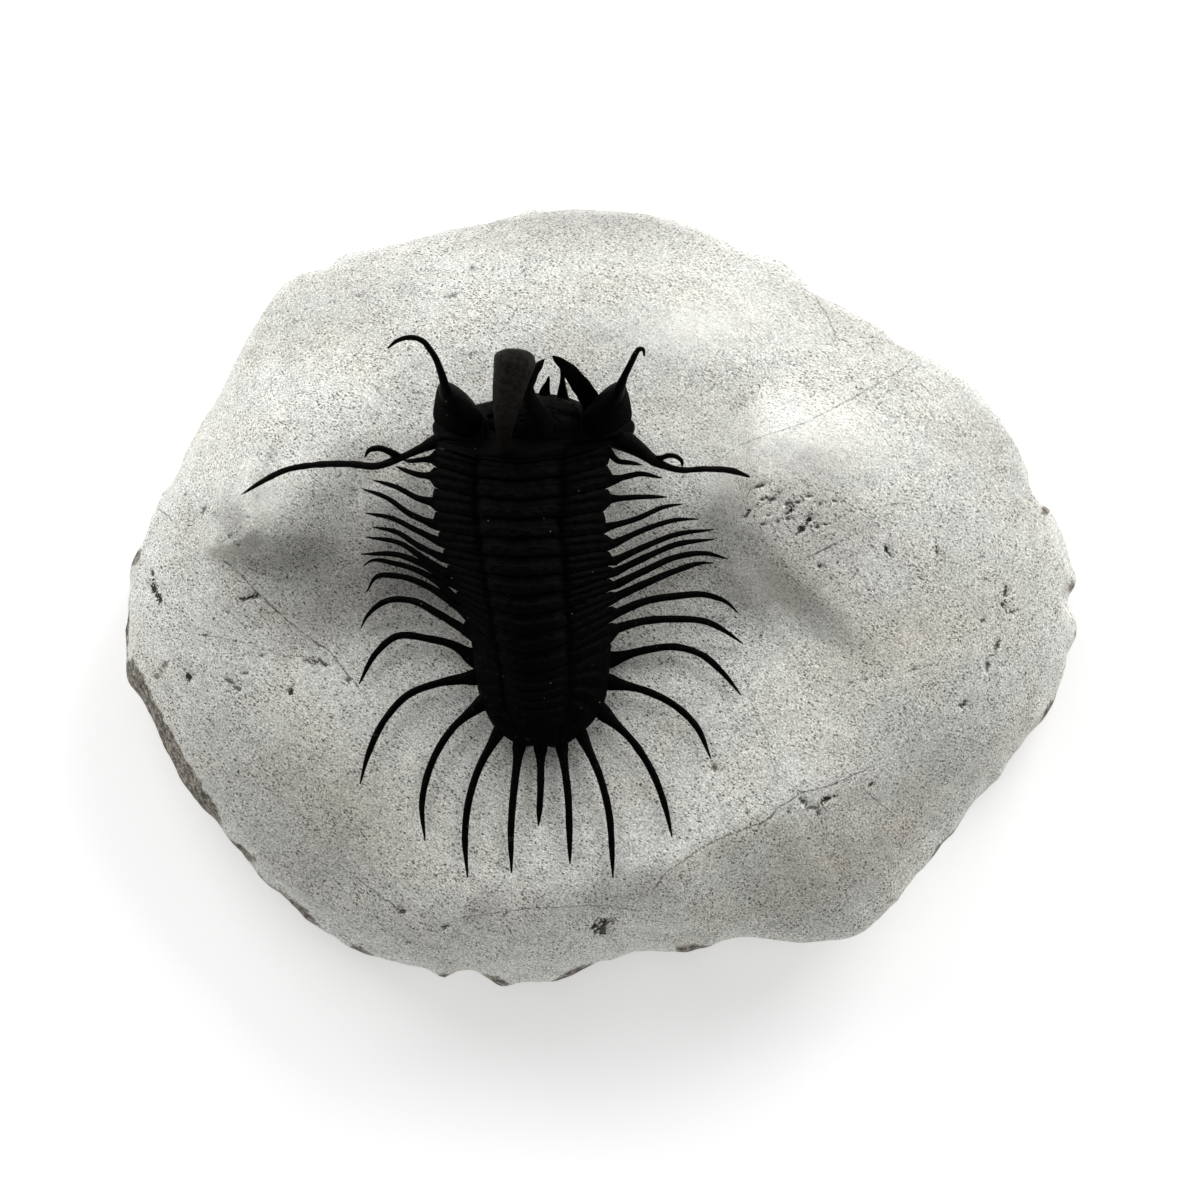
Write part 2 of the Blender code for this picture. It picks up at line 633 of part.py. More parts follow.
def make_stone(sheet):
    """Limestone with its flat base, worked top, two rests and the rock core."""
    top_middle = np.array((0.0, 0.0, ground(0.0, 0.0)))
    vertices, faces = skin(stone_rings(), start=top_middle, end=np.zeros(3))
    material = finish("stone_matrix", STONE_COLOUR, STONE_ROUGHNESS)
    stone = mesh_object("stone_matrix", vertices, faces, material)
    across = np.linspace(-BAND_REACH, BAND_REACH, BAND_SECTIONS)
    grid = np.meshgrid(CORE_STATIONS, across, indexing="ij")
    rock = sheet.at(*grid, SHELL + GAP, SHELL_TUCK + GAP)
    fuse(stone, [sheet_object("core", rock, pressed(rock, CORE_BOTTOM), None)])


def make_head(sheet):
    """Head shield with its glabella, eyes and every spine that grew from it."""
    material = finish("cephalon", SHELL_COLOUR, SHELL_ROUGHNESS)
    grid = np.meshgrid(HEAD_STATIONS, np.linspace(-1.0, 1.0, 11), indexing="ij")
    top = sheet.at(*grid)
    head = sheet_object("cephalon", top, pressed(top, HEAD_UNDERSIDE), material)
    centre = point_at(GLABELLA_PIXEL, GLABELLA_HEIGHT)
    grown = [lobe_object("glabella", centre, GLABELLA_RADII, GLABELLA_POWER)]
    grown += [growth_object(*growth) for growth in HEAD_GROWTHS]
    fuse(head, grown)


def make_segment(number, sheet):
    """One body segment: its arched band drawn out into a spine at each side.

    The band stops half a gap short of the joint at each end, measured at its
    edge, where the joints are nearest to each other.
    """
    joint = number - 1
    edges = sheet.at(np.array((joint, number)), np.array((-1.0, -1.0)))
    inset = 0.65 * GAP / np.linalg.norm(edges[1] - edges[0])
    shares = np.array((inset, 0.33, 0.7, 1.0 - inset))
    rings = []
    for place in np.linspace(-BAND_REACH, BAND_REACH, BAND_SECTIONS):
        top = sheet.at(joint + shares, np.full(4, place))
        top[:, 2] += RIB_PROFILE * RIB_RISE
        under = sheet.at(joint + shares[::-1], np.full(4, place), SHELL, SHELL_TUCK)
        rings.append(np.vstack((top, under)))
    foot_height = mix(rings[0][1][2], rings[0][6][2], 0.5)
    radii = taper(THORAX_RADII, THORAX_SPINE_POINTS)[1:]
    spines = [
        course(table[joint], foot_height, THORAX_SPINE_ARCH, TIP_CLEARANCE, THORAX_SPINE_POINTS)[1:]
        for table in (LEFT_SPINES, RIGHT_SPINES)
    ]
    left = tube_rings(spines[0][::-1], radii[::-1], BAND_SIDES)[1:]
    right = tube_rings(spines[1], radii, BAND_SIDES)[:-1]
    vertices, faces = skin(left + rings + right, start=spines[0][-1], end=spines[1][-1])
    name = "thorax_segment_%02d" % number
    mesh_object(name, vertices, faces, finish(name, SHELL_COLOUR, SHELL_ROUGHNESS))


def make_tail(sheet):
    """Tail shield with its five pairs of spines and the one in the middle."""
    material = finish("pygidium", SHELL_COLOUR, SHELL_ROUGHNESS)
    grid = np.meshgrid(TAIL_STATIONS, np.linspace(-1.0, 1.0, 13), indexing="ij")
    tail = sheet_object("pygidium", sheet.at(*grid), sheet.at(*grid, SHELL, SHELL_TUCK), material)
    radii = taper(TAIL_RADII, TAIL_SPINE_POINTS)
    spines = []
    for number, pixels in enumerate(TAIL_SPINES):
        path = course(pixels, TAIL_SPINE_HEIGHT, TAIL_SPINE_ARCH, TIP_CLEARANCE, TAIL_SPINE_POINTS)
        sunk = path[0] - SPINE_SINK * unit(path[1] - path[0])
        path = np.vstack((sunk, path))
        widths = np.concatenate(((SUNK_RADIUS,), radii))
        spines.append(spine_object("tail_spine_%02d" % number, path, widths, sides=5))
    fuse(tail, spines)


def main():
    """Clear the scene and build every piece."""
    for existing in list(bpy.data.objects):
        bpy.data.objects.remove(existing)
    sheet = BodySheet()
    make_stone(sheet)
    make_head(sheet)
    for number in range(1, SEGMENTS + 1):
        make_segment(number, sheet)
    make_tail(sheet)


main()
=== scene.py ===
"""Spiny trilobite fossil on its piece of limestone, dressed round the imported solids.

Metres, +Z up. The stone lies at z = 0, +Y is the way the head faces, and +X is
the animal's right-hand side. Every surface is worked out with numpy from the
same courses and rows that the solids have, with the finer relief added.
"""

import math

import bpy
import numpy as np
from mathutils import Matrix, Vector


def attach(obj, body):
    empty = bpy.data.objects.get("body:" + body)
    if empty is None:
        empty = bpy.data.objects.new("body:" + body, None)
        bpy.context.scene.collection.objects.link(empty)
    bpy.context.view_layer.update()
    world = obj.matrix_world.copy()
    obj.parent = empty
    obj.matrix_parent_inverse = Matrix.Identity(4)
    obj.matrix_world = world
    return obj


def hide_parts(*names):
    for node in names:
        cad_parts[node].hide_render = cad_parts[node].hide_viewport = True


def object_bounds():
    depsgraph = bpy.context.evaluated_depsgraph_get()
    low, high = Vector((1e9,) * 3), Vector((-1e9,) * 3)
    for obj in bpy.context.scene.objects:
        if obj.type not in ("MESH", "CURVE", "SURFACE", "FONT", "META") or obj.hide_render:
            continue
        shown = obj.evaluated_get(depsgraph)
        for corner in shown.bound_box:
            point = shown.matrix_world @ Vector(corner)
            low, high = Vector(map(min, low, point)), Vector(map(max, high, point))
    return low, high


bl_info = {
    "name": "Spiny Trilobite on Limestone",
    "version": (1, 0, 0),
    "blender": (4, 5, 0),
    "location": "3D View > Sidebar > Fossil",
    "description": "Builds a prepared spiny trilobite and its worked limestone",
    "category": "Add Mesh",
}

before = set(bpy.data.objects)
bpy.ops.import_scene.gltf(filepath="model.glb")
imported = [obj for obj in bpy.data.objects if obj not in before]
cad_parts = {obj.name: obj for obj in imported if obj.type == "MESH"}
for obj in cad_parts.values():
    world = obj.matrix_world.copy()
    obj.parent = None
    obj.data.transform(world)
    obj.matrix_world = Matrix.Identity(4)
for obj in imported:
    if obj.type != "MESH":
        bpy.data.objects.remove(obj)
CAD_LOW, CAD_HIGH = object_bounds()
BASE_HEIGHT = CAD_LOW.z

MM = 0.001
TURN = 2 * math.pi

# Line of sight: places are read from a picture taken from above the tail, and
# each picture point gets a height of its own
SIGHT_DISTANCE = 0.450
SIGHT_ELEVATION = math.radians(80.0)
SIGHT_TARGET = np.array((0.0, -2.9 * MM, 24.0 * MM))
PICTURE_SIZE = 1200
PICTURE_CENTRE = 600.0
PIXEL = 23.0 * MM / 174.0
SENSOR = 36.0
SIGHT_BACK = np.array((0.0, -math.cos(SIGHT_ELEVATION), math.sin(SIGHT_ELEVATION)))
SIGHT_UP = np.array((0.0, math.sin(SIGHT_ELEVATION), math.cos(SIGHT_ELEVATION)))
SIGHT_EYE = SIGHT_TARGET + SIGHT_BACK * SIGHT_DISTANCE

# Soft lights beyond the head: name, bearing from +Y towards +X, share of power
KEY_ELEVATION = math.radians(25.0)
KEY_DISTANCE = 0.85
KEY_SIZE = 0.60
KEYS = (("left_key", math.radians(-40.0), 0.88), ("right_key", math.radians(40.0), 1.08))
FLOOR_REACH = 1.5
WHITE = (1.0, 1.0, 1.0, 1.0)

# Stone
FLOOR_HEIGHT = 24.0 * MM
HEAD_END_RISE = 3.0 * MM
RIM_HEIGHT = 15.0 * MM
TAIL_RIM_HEIGHT = 21.0 * MM
WIDEST_HEIGHT = 6.6 * MM
BASE_INSET = 3.5 * MM
LEFT_REST_HEIGHT = 4.8 * MM
RIGHT_REST_HEIGHT = 4.6 * MM

# Ridges of the rests in millimetres from the middle of the picture: start, end,
# widths to the right and left, lengths of the two ends, level share and spread
LEFT_NOSE = ((-48.4, 8.6), (-50.5, 20.0), (5.4, 5.6), (3.2, 24.0), 0.45, 1.6)
LEFT_SHELF = ((-43.5, 9.6), (-42.0, 20.0), (10.0, 6.0), (5.0, 20.0), 0.30, 0.6)
SHELF_SHARE = 0.62
RIGHT_SPUR = ((27.4, 4.0), (22.6, 9.5), (22.0, 6.0), (17.0, 5.0))
RIGHT_CREST = ((22.6, 9.5), (22.8, 15.5), (22.0, 6.6), (5.0, 14.0))
# Bowls beside the rests and the groove outside the nose: depth, middle, radii
HOLLOWS = (
    (2.4, (-35.5, 0.5), (7.5, 6.5)), (1.3, (17.0, -1.0), (6.0, 7.0)),
    (1.5, (-54.6, 7.5), (2.0, 4.5)),
)

# Flank: share of the way out and share of the rim's height, from top to foot
FLANK = ((0.0, 1.0), (0.60, 0.78), (1.0, 0.45), (0.8, 0.18), (0.35, 0.0))

# Top's edge: bearings in degrees between which the tail side is chipped, how far
# the edge lies inside the outline, where its fall starts, and how it is calmed
TAIL_SIDE = (-134.0, -112.0, -48.0, -28.0)
TOP_INSET = 2.6 * MM
TAIL_INSET = 1.8 * MM
BEVEL_INSET = 10.0 * MM
LEAST_INSET = 1.4 * MM
HEAD_SHOULDER = 0.60
TAIL_SHOULDER = 0.86
CALM_SPAN = 14.0
CALM_SAMPLES = 29

# Mesh of the stone, whose sectors are closer round these bearings and spreads
REST_SECTORS = ((164.0, 13.0), (22.0, 24.0))
STONE_SECTORS = 640
MEAN_RADIUS = 0.058
TOP_RINGS = 112
FLANK_RINGS = 28
BASE_RINGS = (0.99, 0.9, 0.6, 0.3)

# Body: thickness of the shell and how far its underside is tucked in, share of
# the half width taken by the axis, segments and the height of their ribs
SHELL = 1.5 * MM
SHELL_TUCK = 0.7 * MM
AXIS_SHARE = 0.46
SEGMENTS = 11
RIB_RISE = 0.45 * MM

# Section across the body: shares of its rise in the wide arch and in the axis,
# the arch's power, and the power by which the section sweeps back to its edges
ARCH_SHARE = 0.74
AXIS_RISE = 0.26
ARCH_POWER = 2.6
SWEEP_POWER = 1.6

# Segment: places across it, drawn towards the edges, and samples along it
SEGMENT_PLACES = 111
SEGMENT_REACH = 0.955
EDGE_CROWDING = 0.86
SEGMENT_SAMPLES = 25
SEGMENT_SPAN = (0.03, 0.995)

# Spines: depth against width, half widths of their feet, height of the feet on
# the tail shield, and how the horns' blunt tips close
SPINE_DEPTH = 0.86
SEGMENT_FOOT = 0.64 * MM
TAIL_OUTER_FOOT = 1.25 * MM
TAIL_INNER_FOOT = 0.95 * MM
TAIL_FOOT_HEIGHT = 25.5 * MM
TIP_CROWDING = 0.85
BLUNT_SHARE = 0.13
BLUNT_POWER = 2.4

# Tail shield: its ribs, counted in turns, start at the axis and reach the edge
# at these stations, and its axis has rings at an even pitch
RIB_TURNS = (0.5, 1.0, 2.0, 3.0, 4.0, 5.0)
RIBS_AT_AXIS = (11.07, 11.4, 12.0, 12.7, 13.4, 14.1)
RIBS_AT_EDGE = (11.07, 11.9, 12.9, 14.05, 15.1, 15.8)
FIRST_RING = 11.3
RING_PITCH = 0.62

# Eyes: length of the lens field, rings on it and on the spine, points round a
# ring, mean radius in pixels for the pitch, and heights of lens and brim
LENS_END = 9.6 * MM
LENS_RINGS = 122
EYE_SPINE_RINGS = 71
EYE_SIDES = 200
LENS_ROUND = 24.0
LENS_HEIGHT = 0.14 * MM
BRIM_HEIGHT = 0.12 * MM

# Radii of the tubercles
SEGMENT_TUBERCLE = 0.26 * MM
TAIL_TUBERCLE = 0.22 * MM
CHEEK_TUBERCLE = 0.24 * MM
GLABELLA_TUBERCLE = 0.30 * MM
GLABELLA_SIDES = 220

# How brown the surfaces look: a brown tint, partly painted light that grows on the highest parts
SHELL_BROWN = 0.04
TAIL_SPINE_BROWN = 0.03
CHEEK_BROWN = 0.05
GLABELLA_BROWN = 0.10
EYE_BROWN = 0.12

SHARP_ANGLE = math.radians(62.0)

# Noises of the surfaces: size of the lumps, seed and, for rough ones, octaves
EDGE_CHIPS = (3.4 * MM, 83, 2)
TOP_WAVES = (7.0 * MM, 11, 4)
FLANK_LUMPS = (9.0 * MM, 23, 5)
FLANK_LEDGES = (6.0 * MM, 37)
SEGMENT_CREASES = (0.8 * MM, 61, 3)
SEGMENT_SPINE_WAVER = (0.9 * MM, 5)
TAIL_SPINE_WAVER = (1.0 * MM, 5)
HORN_WAVER = (1.1 * MM, 71)

# Fields round the marks: the fall of a patch, and values far from any mark
LOG_OF_TWO = 0.69
FAR_PIXELS = 50.0
FAR_SHARE = 9.0

# Picture points of the stone's outline, clockwise from the top
OUTLINE_PIXELS = (
    (590, 214), (629, 215), (667, 222), (700, 235), (725, 248), (743, 260), (764, 259),
    (794, 277), (816, 297), (842, 313), (873, 329), (901, 353), (936, 368), (968, 383),
    (995, 413), (1013, 444), (1026, 474), (1036, 503), (1050, 512), (1064, 540), (1070, 564),
    (1076, 583), (1069, 602), (1077, 625), (1068, 660), (1058, 689), (1041, 722), (1016, 751),
    (991, 783), (974, 803), (942, 849), (905, 889), (878, 923), (862, 935), (802, 943),
    (745, 940), (730, 943), (710, 950), (682, 954), (658, 951), (631, 955), (606, 963),
    (583, 972), (564, 982), (551, 985), (520, 984), (501, 986), (486, 979), (471, 970),
    (458, 970), (445, 977), (424, 970), (403, 965), (386, 961), (369, 956), (352, 949),
    (323, 934), (290, 903), (256, 873), (223, 830), (184, 783), (163, 743), (146, 706),
    (127, 673), (126, 650), (131, 600), (131, 566), (142, 545), (153, 523), (166, 501),
    (190, 450), (218, 404), (233, 375), (247, 342), (265, 317), (281, 294), (301, 279),
    (327, 274), (345, 257), (370, 252), (416, 242), (459, 228), (501, 223), (545, 215),
)

# Picture points of the thoracic spines, foot first, head end first
LEFT_SPINES = (
    ((432, 459), (420, 460), (408, 461), (403, 460)),
    ((431, 476), (420, 475), (408, 471.5), (396, 466.5)),
    ((433, 502), (420, 499), (396, 487), (373, 480)),
    ((433, 524), (410, 514), (387, 498), (362, 488.5)),
    ((440, 542), (416, 530), (391, 518), (365, 513)),
    ((443, 558), (419, 546), (396, 532), (373, 527)),
    ((448, 573), (426, 559.5), (400, 543), (366, 537)),
    ((453, 584), (426, 566), (400, 555), (361, 554)),
    ((457, 598), (430, 576), (395, 563), (370, 561), (363, 566)),
    ((462, 609), (426, 585), (399, 576), (376, 577), (366.5, 592)),
    ((464, 629), (439, 614), (412, 600.5), (386, 601), (366, 617.5), (361, 628)),
)
RIGHT_SPINES = (
    ((609, 453), (618, 461), (631, 463), (642, 465)),
    ((613, 480), (625, 477), (639, 474), (662, 478)),
    ((610, 499), (625, 498), (641, 497), (667, 497)),
    ((604, 528), (636, 519), (666, 506.5), (683, 504)),
    ((613, 544), (646, 529), (676, 520), (699, 519)),
    ((612, 562), (646, 546), (676, 534.5), (714, 529.5)),
    ((613, 573), (646, 557), (676, 544.5), (715, 539)),
    ((613, 586), (646, 570), (676, 557), (707, 553.5), (728, 559)),
    ((615, 597), (646, 583), (676, 570.5), (702, 563), (713, 563)),
    ((615, 613.5), (646, 601), (676, 596), (707, 595), (729, 604), (738, 613)),
    ((615, 629), (639, 622), (676, 619), (707, 622), (731, 635), (743, 644)),
)

# Picture points of the tail shield's spines, round its edge from the left
TAIL_SPINES = (
    ((471, 656), (453, 645), (430, 639), (395, 637), (377, 652), (359, 684)),
    ((472, 677.5), (439, 683), (408, 695), (386, 718), (368, 755), (360, 784)),
    ((481, 704), (453, 728), (433, 760), (422, 803), (425, 841)),
    ((497, 735), (479, 768), (468, 805), (465, 835), (467.5, 878)),
    ((519, 748), (514.5, 784.5), (511, 829), (511.5, 873)),
    ((540.6, 751), (540.6, 785), (538.5, 826)),
    ((562, 749), (568, 795), (569.5, 837), (570, 864)),
    ((582, 736), (600, 777), (609, 813.5), (612, 851), (613, 878)),
    ((604.5, 714), (634, 743), (655, 778), (666, 810), (672, 837)),
    ((613, 683), (646, 691), (674, 705), (696, 726), (711, 759)),
    ((613, 659), (646, 650), (676, 647), (702, 655), (722, 672), (741, 695)),
)

# Eyes: picture point of the middle, height in millimetres, half width and half
# depth in picture pixels, and how far the depth slants from left to right
LEFT_EYE = (
    (460, 422, 30.5, 26.4, 19.0, 0.28), (459, 414, 33.0, 23.8, 21.5, 0.44),
    (455.5, 405.0, 36.0, 18.8, 19.0, 0.52), (450.2, 396.5, 38.5, 11.8, 13.4, 0.52),
    (446, 390.5, 40.3, 7.0, 6.2, 0.40), (444.6, 385, 41.4, 4.8, 4.6, 0.20),
    (442.5, 377, 42.8, 4.0, 3.9, 0.0), (439.5, 368, 44.2, 3.5, 3.5, 0.0),
    (435.5, 358, 46.0, 3.1, 3.1, 0.0), (430, 349.5, 47.2, 3.0, 3.0, 0.0),
    (424, 342, 48.2, 2.8, 2.8, 0.0), (416, 338, 48.8, 2.6, 2.6, 0.0),
    (405, 338, 49.0, 2.4, 2.4, 0.0), (396, 341.5, 48.6, 1.9, 1.9, 0.0),
    (388, 348, 48.0, 0.9, 0.9, 0.0),
)
RIGHT_EYE = (
    (605.5, 422, 30.5, 25.8, 19.0, -0.28), (606, 414, 33.0, 23.6, 21.0, -0.44),
    (609.8, 404.5, 36.0, 17.4, 18.4, -0.52), (614.8, 395.5, 38.5, 10.6, 12.6, -0.52),
    (619.2, 389, 40.3, 5.8, 6.2, -0.40), (621.7, 383, 41.4, 4.6, 4.4, -0.20),
    (624.5, 376, 42.8, 3.5, 3.5, 0.0), (629, 367, 44.4, 3.2, 3.2, 0.0),
    (632.5, 360, 45.8, 3.0, 3.0, 0.0), (636, 353, 47.0, 2.7, 2.7, 0.0),
    (639.5, 349, 47.8, 2.3, 2.3, 0.0), (642.6, 349, 47.9, 2.0, 2.0, 0.0),
    (644.3, 356, 47.2, 0.9, 0.9, 0.0),
)

# What grew from the head: picture point, height and radius in millimetres,
# from the foot to the tip
LEFT_GENAL = (
    (452, 436, 30.5, 1.3), (435, 442, 31.0, 0.95), (420, 449, 31.4, 0.62),
    (400, 458, 31.9, 0.50), (377, 466, 32.4, 0.50), (350, 464, 32.8, 0.46),
    (314, 465, 33.0, 0.42), (286, 470, 32.8, 0.40), (258, 484, 32.2, 0.32),
    (241, 495, 31.6, 0.14),
)
LEFT_HOOK = (
    (401, 458, 31.8, 0.48), (391, 452.5, 32.6, 0.46), (379, 448.2, 33.2, 0.42),
    (369, 450.5, 33.2, 0.30), (364.5, 458, 33.0, 0.13),
)
RIGHT_GENAL = (
    (614, 436, 30.5, 1.6), (630, 444, 31.0, 1.30), (641, 451, 31.4, 1.0),
    (654, 460.5, 31.8, 0.70), (677, 469.5, 32.3, 0.44), (707, 469, 32.6, 0.40),
    (733, 471, 31.9, 0.40), (750, 477, 31.3, 0.28),
)
RIGHT_HOOK = (
    (652, 459, 31.7, 0.40), (661, 458, 32.4, 0.36), (669, 455.5, 33.0, 0.33),
    (677, 457, 33.2, 0.30), (682, 462, 33.1, 0.24), (682, 467, 32.9, 0.13),
)
NECK_SPINE = (
    (503, 460, 35.4, 0.63), (503.7, 444, 39.0, 0.84), (504.8, 420, 43.2, 1.36),
    (506.6, 402, 46.2, 1.80), (509.5, 386, 48.4, 2.15), (512.3, 372, 49.8, 2.42),
    (513.7, 366, 50.4, 2.58), (515.1, 359, 50.75, 2.70), (515.9, 354, 50.95, 2.74),
    (516.4, 348.8, 51.05, 2.76),
)
BROW_TINE = (
    (544, 429, 36.0, 1.7), (539, 413, 39.0, 1.3), (530, 398, 42.0, 0.95),
    (529, 388, 44.0, 0.66), (532, 378, 45.2, 0.62), (536.2, 369.5, 46.0, 0.54),
    (540.5, 363.5, 46.6, 0.42), (545, 358.5, 47.0, 0.12),
)
RIGHT_BLADE = (
    (594, 407, 30.5, 0.45), (586, 393, 33.0, 0.45), (577, 380.5, 35.5, 0.42),
    (566, 367, 37.6, 0.28), (552.5, 356, 39.0, 0.10),
)
LEFT_BLADE = (
    (500, 407, 30.5, 0.45), (508, 393, 33.0, 0.45), (517, 380.5, 35.5, 0.42),
    (526, 367, 37.6, 0.28), (534, 362.5, 39.0, 0.10),
)
RIGHT_STRUT = (
    (563, 402, 31.0, 0.95), (562.5, 392, 33.0, 0.62), (562.5, 380, 35.4, 0.32),
    (561.5, 367, 37.6, 0.30), (556, 359, 38.8, 0.14),
)
LEFT_STRUT = (
    (524, 402, 31.0, 0.85), (526, 391, 33.0, 0.60), (529, 380, 35.4, 0.33),
    (530, 369, 37.4, 0.28), (533, 365, 38.2, 0.14),
)
MIDDLE_SPIKE = (
    (545, 402, 31.0, 0.95), (545, 391, 33.0, 0.70), (547.5, 383, 34.2, 0.36),
    (549, 376, 35.2, 0.12),
)

# Course, samples, sides, how many times wider than thick, and how brown it looks, the brown being
# partly painted light
HEAD_GROWTHS = (
    (LEFT_GENAL, 110, 18, 1.0, 0.6),
    (LEFT_HOOK, 44, 16, 1.0, 0.1),
    (RIGHT_GENAL, 90, 18, 1.0, 0.5),
    (RIGHT_HOOK, 44, 16, 1.0, 0.1),
    (NECK_SPINE, 140, 56, 1.0, 1.0),
    (BROW_TINE, 70, 32, 1.0, 0.35),
    (RIGHT_BLADE, 60, 28, 3.0, 0.25),
    (LEFT_BLADE, 60, 28, 3.0, 0.25),
    (RIGHT_STRUT, 44, 18, 1.0, 0.1),
    (LEFT_STRUT, 44, 18, 1.0, 0.1),
    (MIDDLE_SPIKE, 30, 16, 1.0, 0.1),
)

# Body sheet rows: station, left edge, crest and right edge as picture points,
# edge height and crest height in millimetres. Stations 0 to 11 are the joints
# of the segments, below 0 is the head and above 11 the tail shield
HEAD_ROWS = (
    (-3.8, (503, 398), (535, 393), (566, 396.5), 28.0, 28.5),
    (-3.4, (480, 404), (532, 397), (586, 404), 28.5, 29.7),
    (-3.0, (462, 408), (532, 403), (603, 407), 29.0, 31.0),
    (-2.0, (434.5, 421), (532, 417), (632, 420), 29.5, 34.5),
    (-1.0, (434, 437), (528, 437), (632, 436), 29.8, 36.6),
)
TAIL_ROWS = (
    (12.5, (474, 668), (530, 696), (611, 672), 26.3, 31.6),
    (14.0, (481, 702), (533, 717), (603, 709), 26.0, 30.0),
    (15.0, (497, 731), (537, 733), (584, 732), 25.9, 28.4),
    (15.7, (519, 745), (540, 743), (562, 746), 25.8, 27.2),
    (16.0, (534, 749.5), (540.6, 749), (547, 749.5), 25.8, 26.4),
)
HEAD_FRONT = -3.8
HEAD_REAR = -0.01
TAIL_FRONT = 11.01
TAIL_REAR = 15.75
HEAD_UNDERSIDE = FLOOR_HEIGHT + HEAD_END_RISE + 0.1 * MM
FIRST_JOINT_EDGES = ((434, 449), (614, 447))
LAST_JOINT_EDGES = ((470, 641), (613, 644))
CREST_PIXELS = ((517, 463), (516, 499), (519, 546), (523, 601), (529, 673))
CREST_HEIGHTS = (37.2, 38.0, 37.8, 36.4, 33.0)
EDGE_HEIGHTS = (30.0, 29.4, 28.4, 27.3, 26.6)
GLABELLA_PIXEL = (534, 429)
GLABELLA_HEIGHT = 31.0 * MM
GLABELLA_RADII = (6.3 * MM, 3.9 * MM, 6.6 * MM)
GLABELLA_POWER = 2.8

# Cracks of the stone as picture points, with the width of the line in pixels
CRACKS = (
    (0.9, ((224, 561), (241, 575), (253, 589), (265, 599), (281, 615), (304, 634), (329, 651),
           (343, 668), (360, 690))),
    (0.45, ((360, 690), (392, 724), (430, 765), (448, 788), (472, 816), (500, 840), (514, 864),
           (544, 900))),
    (0.55, ((202, 635), (232, 640), (253, 644), (283, 656), (306, 656), (314, 660))),
    (0.7, ((157, 508), (166, 514), (173, 522))),
    (0.55, ((719, 460), (742, 444), (774, 433), (802, 424), (830, 410), (870, 388), (905, 368))),
    (0.6, ((816, 298), (826, 314), (835, 334))),
    (0.6, ((837, 338), (846, 341), (853, 349))),
    (0.5, ((905, 385), (922, 398), (935, 420))),
    (0.5, ((742, 664), (749, 695), (757, 718), (768, 740), (770, 756), (776, 774), (800, 792))),
    (0.5, ((962, 738), (975, 741), (987, 747))),
    (0.7, ((360, 880), (386, 900), (400, 910))),
    (0.55, ((459, 918), (530, 908), (600, 905), (635, 910))),
    (0.8, ((655, 887), (666, 872), (682, 862), (697, 850), (716, 840), (739, 831), (765, 822),
           (780, 806), (792, 800))),
    (0.7, ((792, 800), (800, 793), (830, 786), (869, 768))),
    (0.5, ((585, 935), (560, 958), (545, 975))),
    (0.6, ((863, 789), (876, 800), (890, 811))),
    (0.9, ((808, 557), (822, 550), (838, 543))),
)

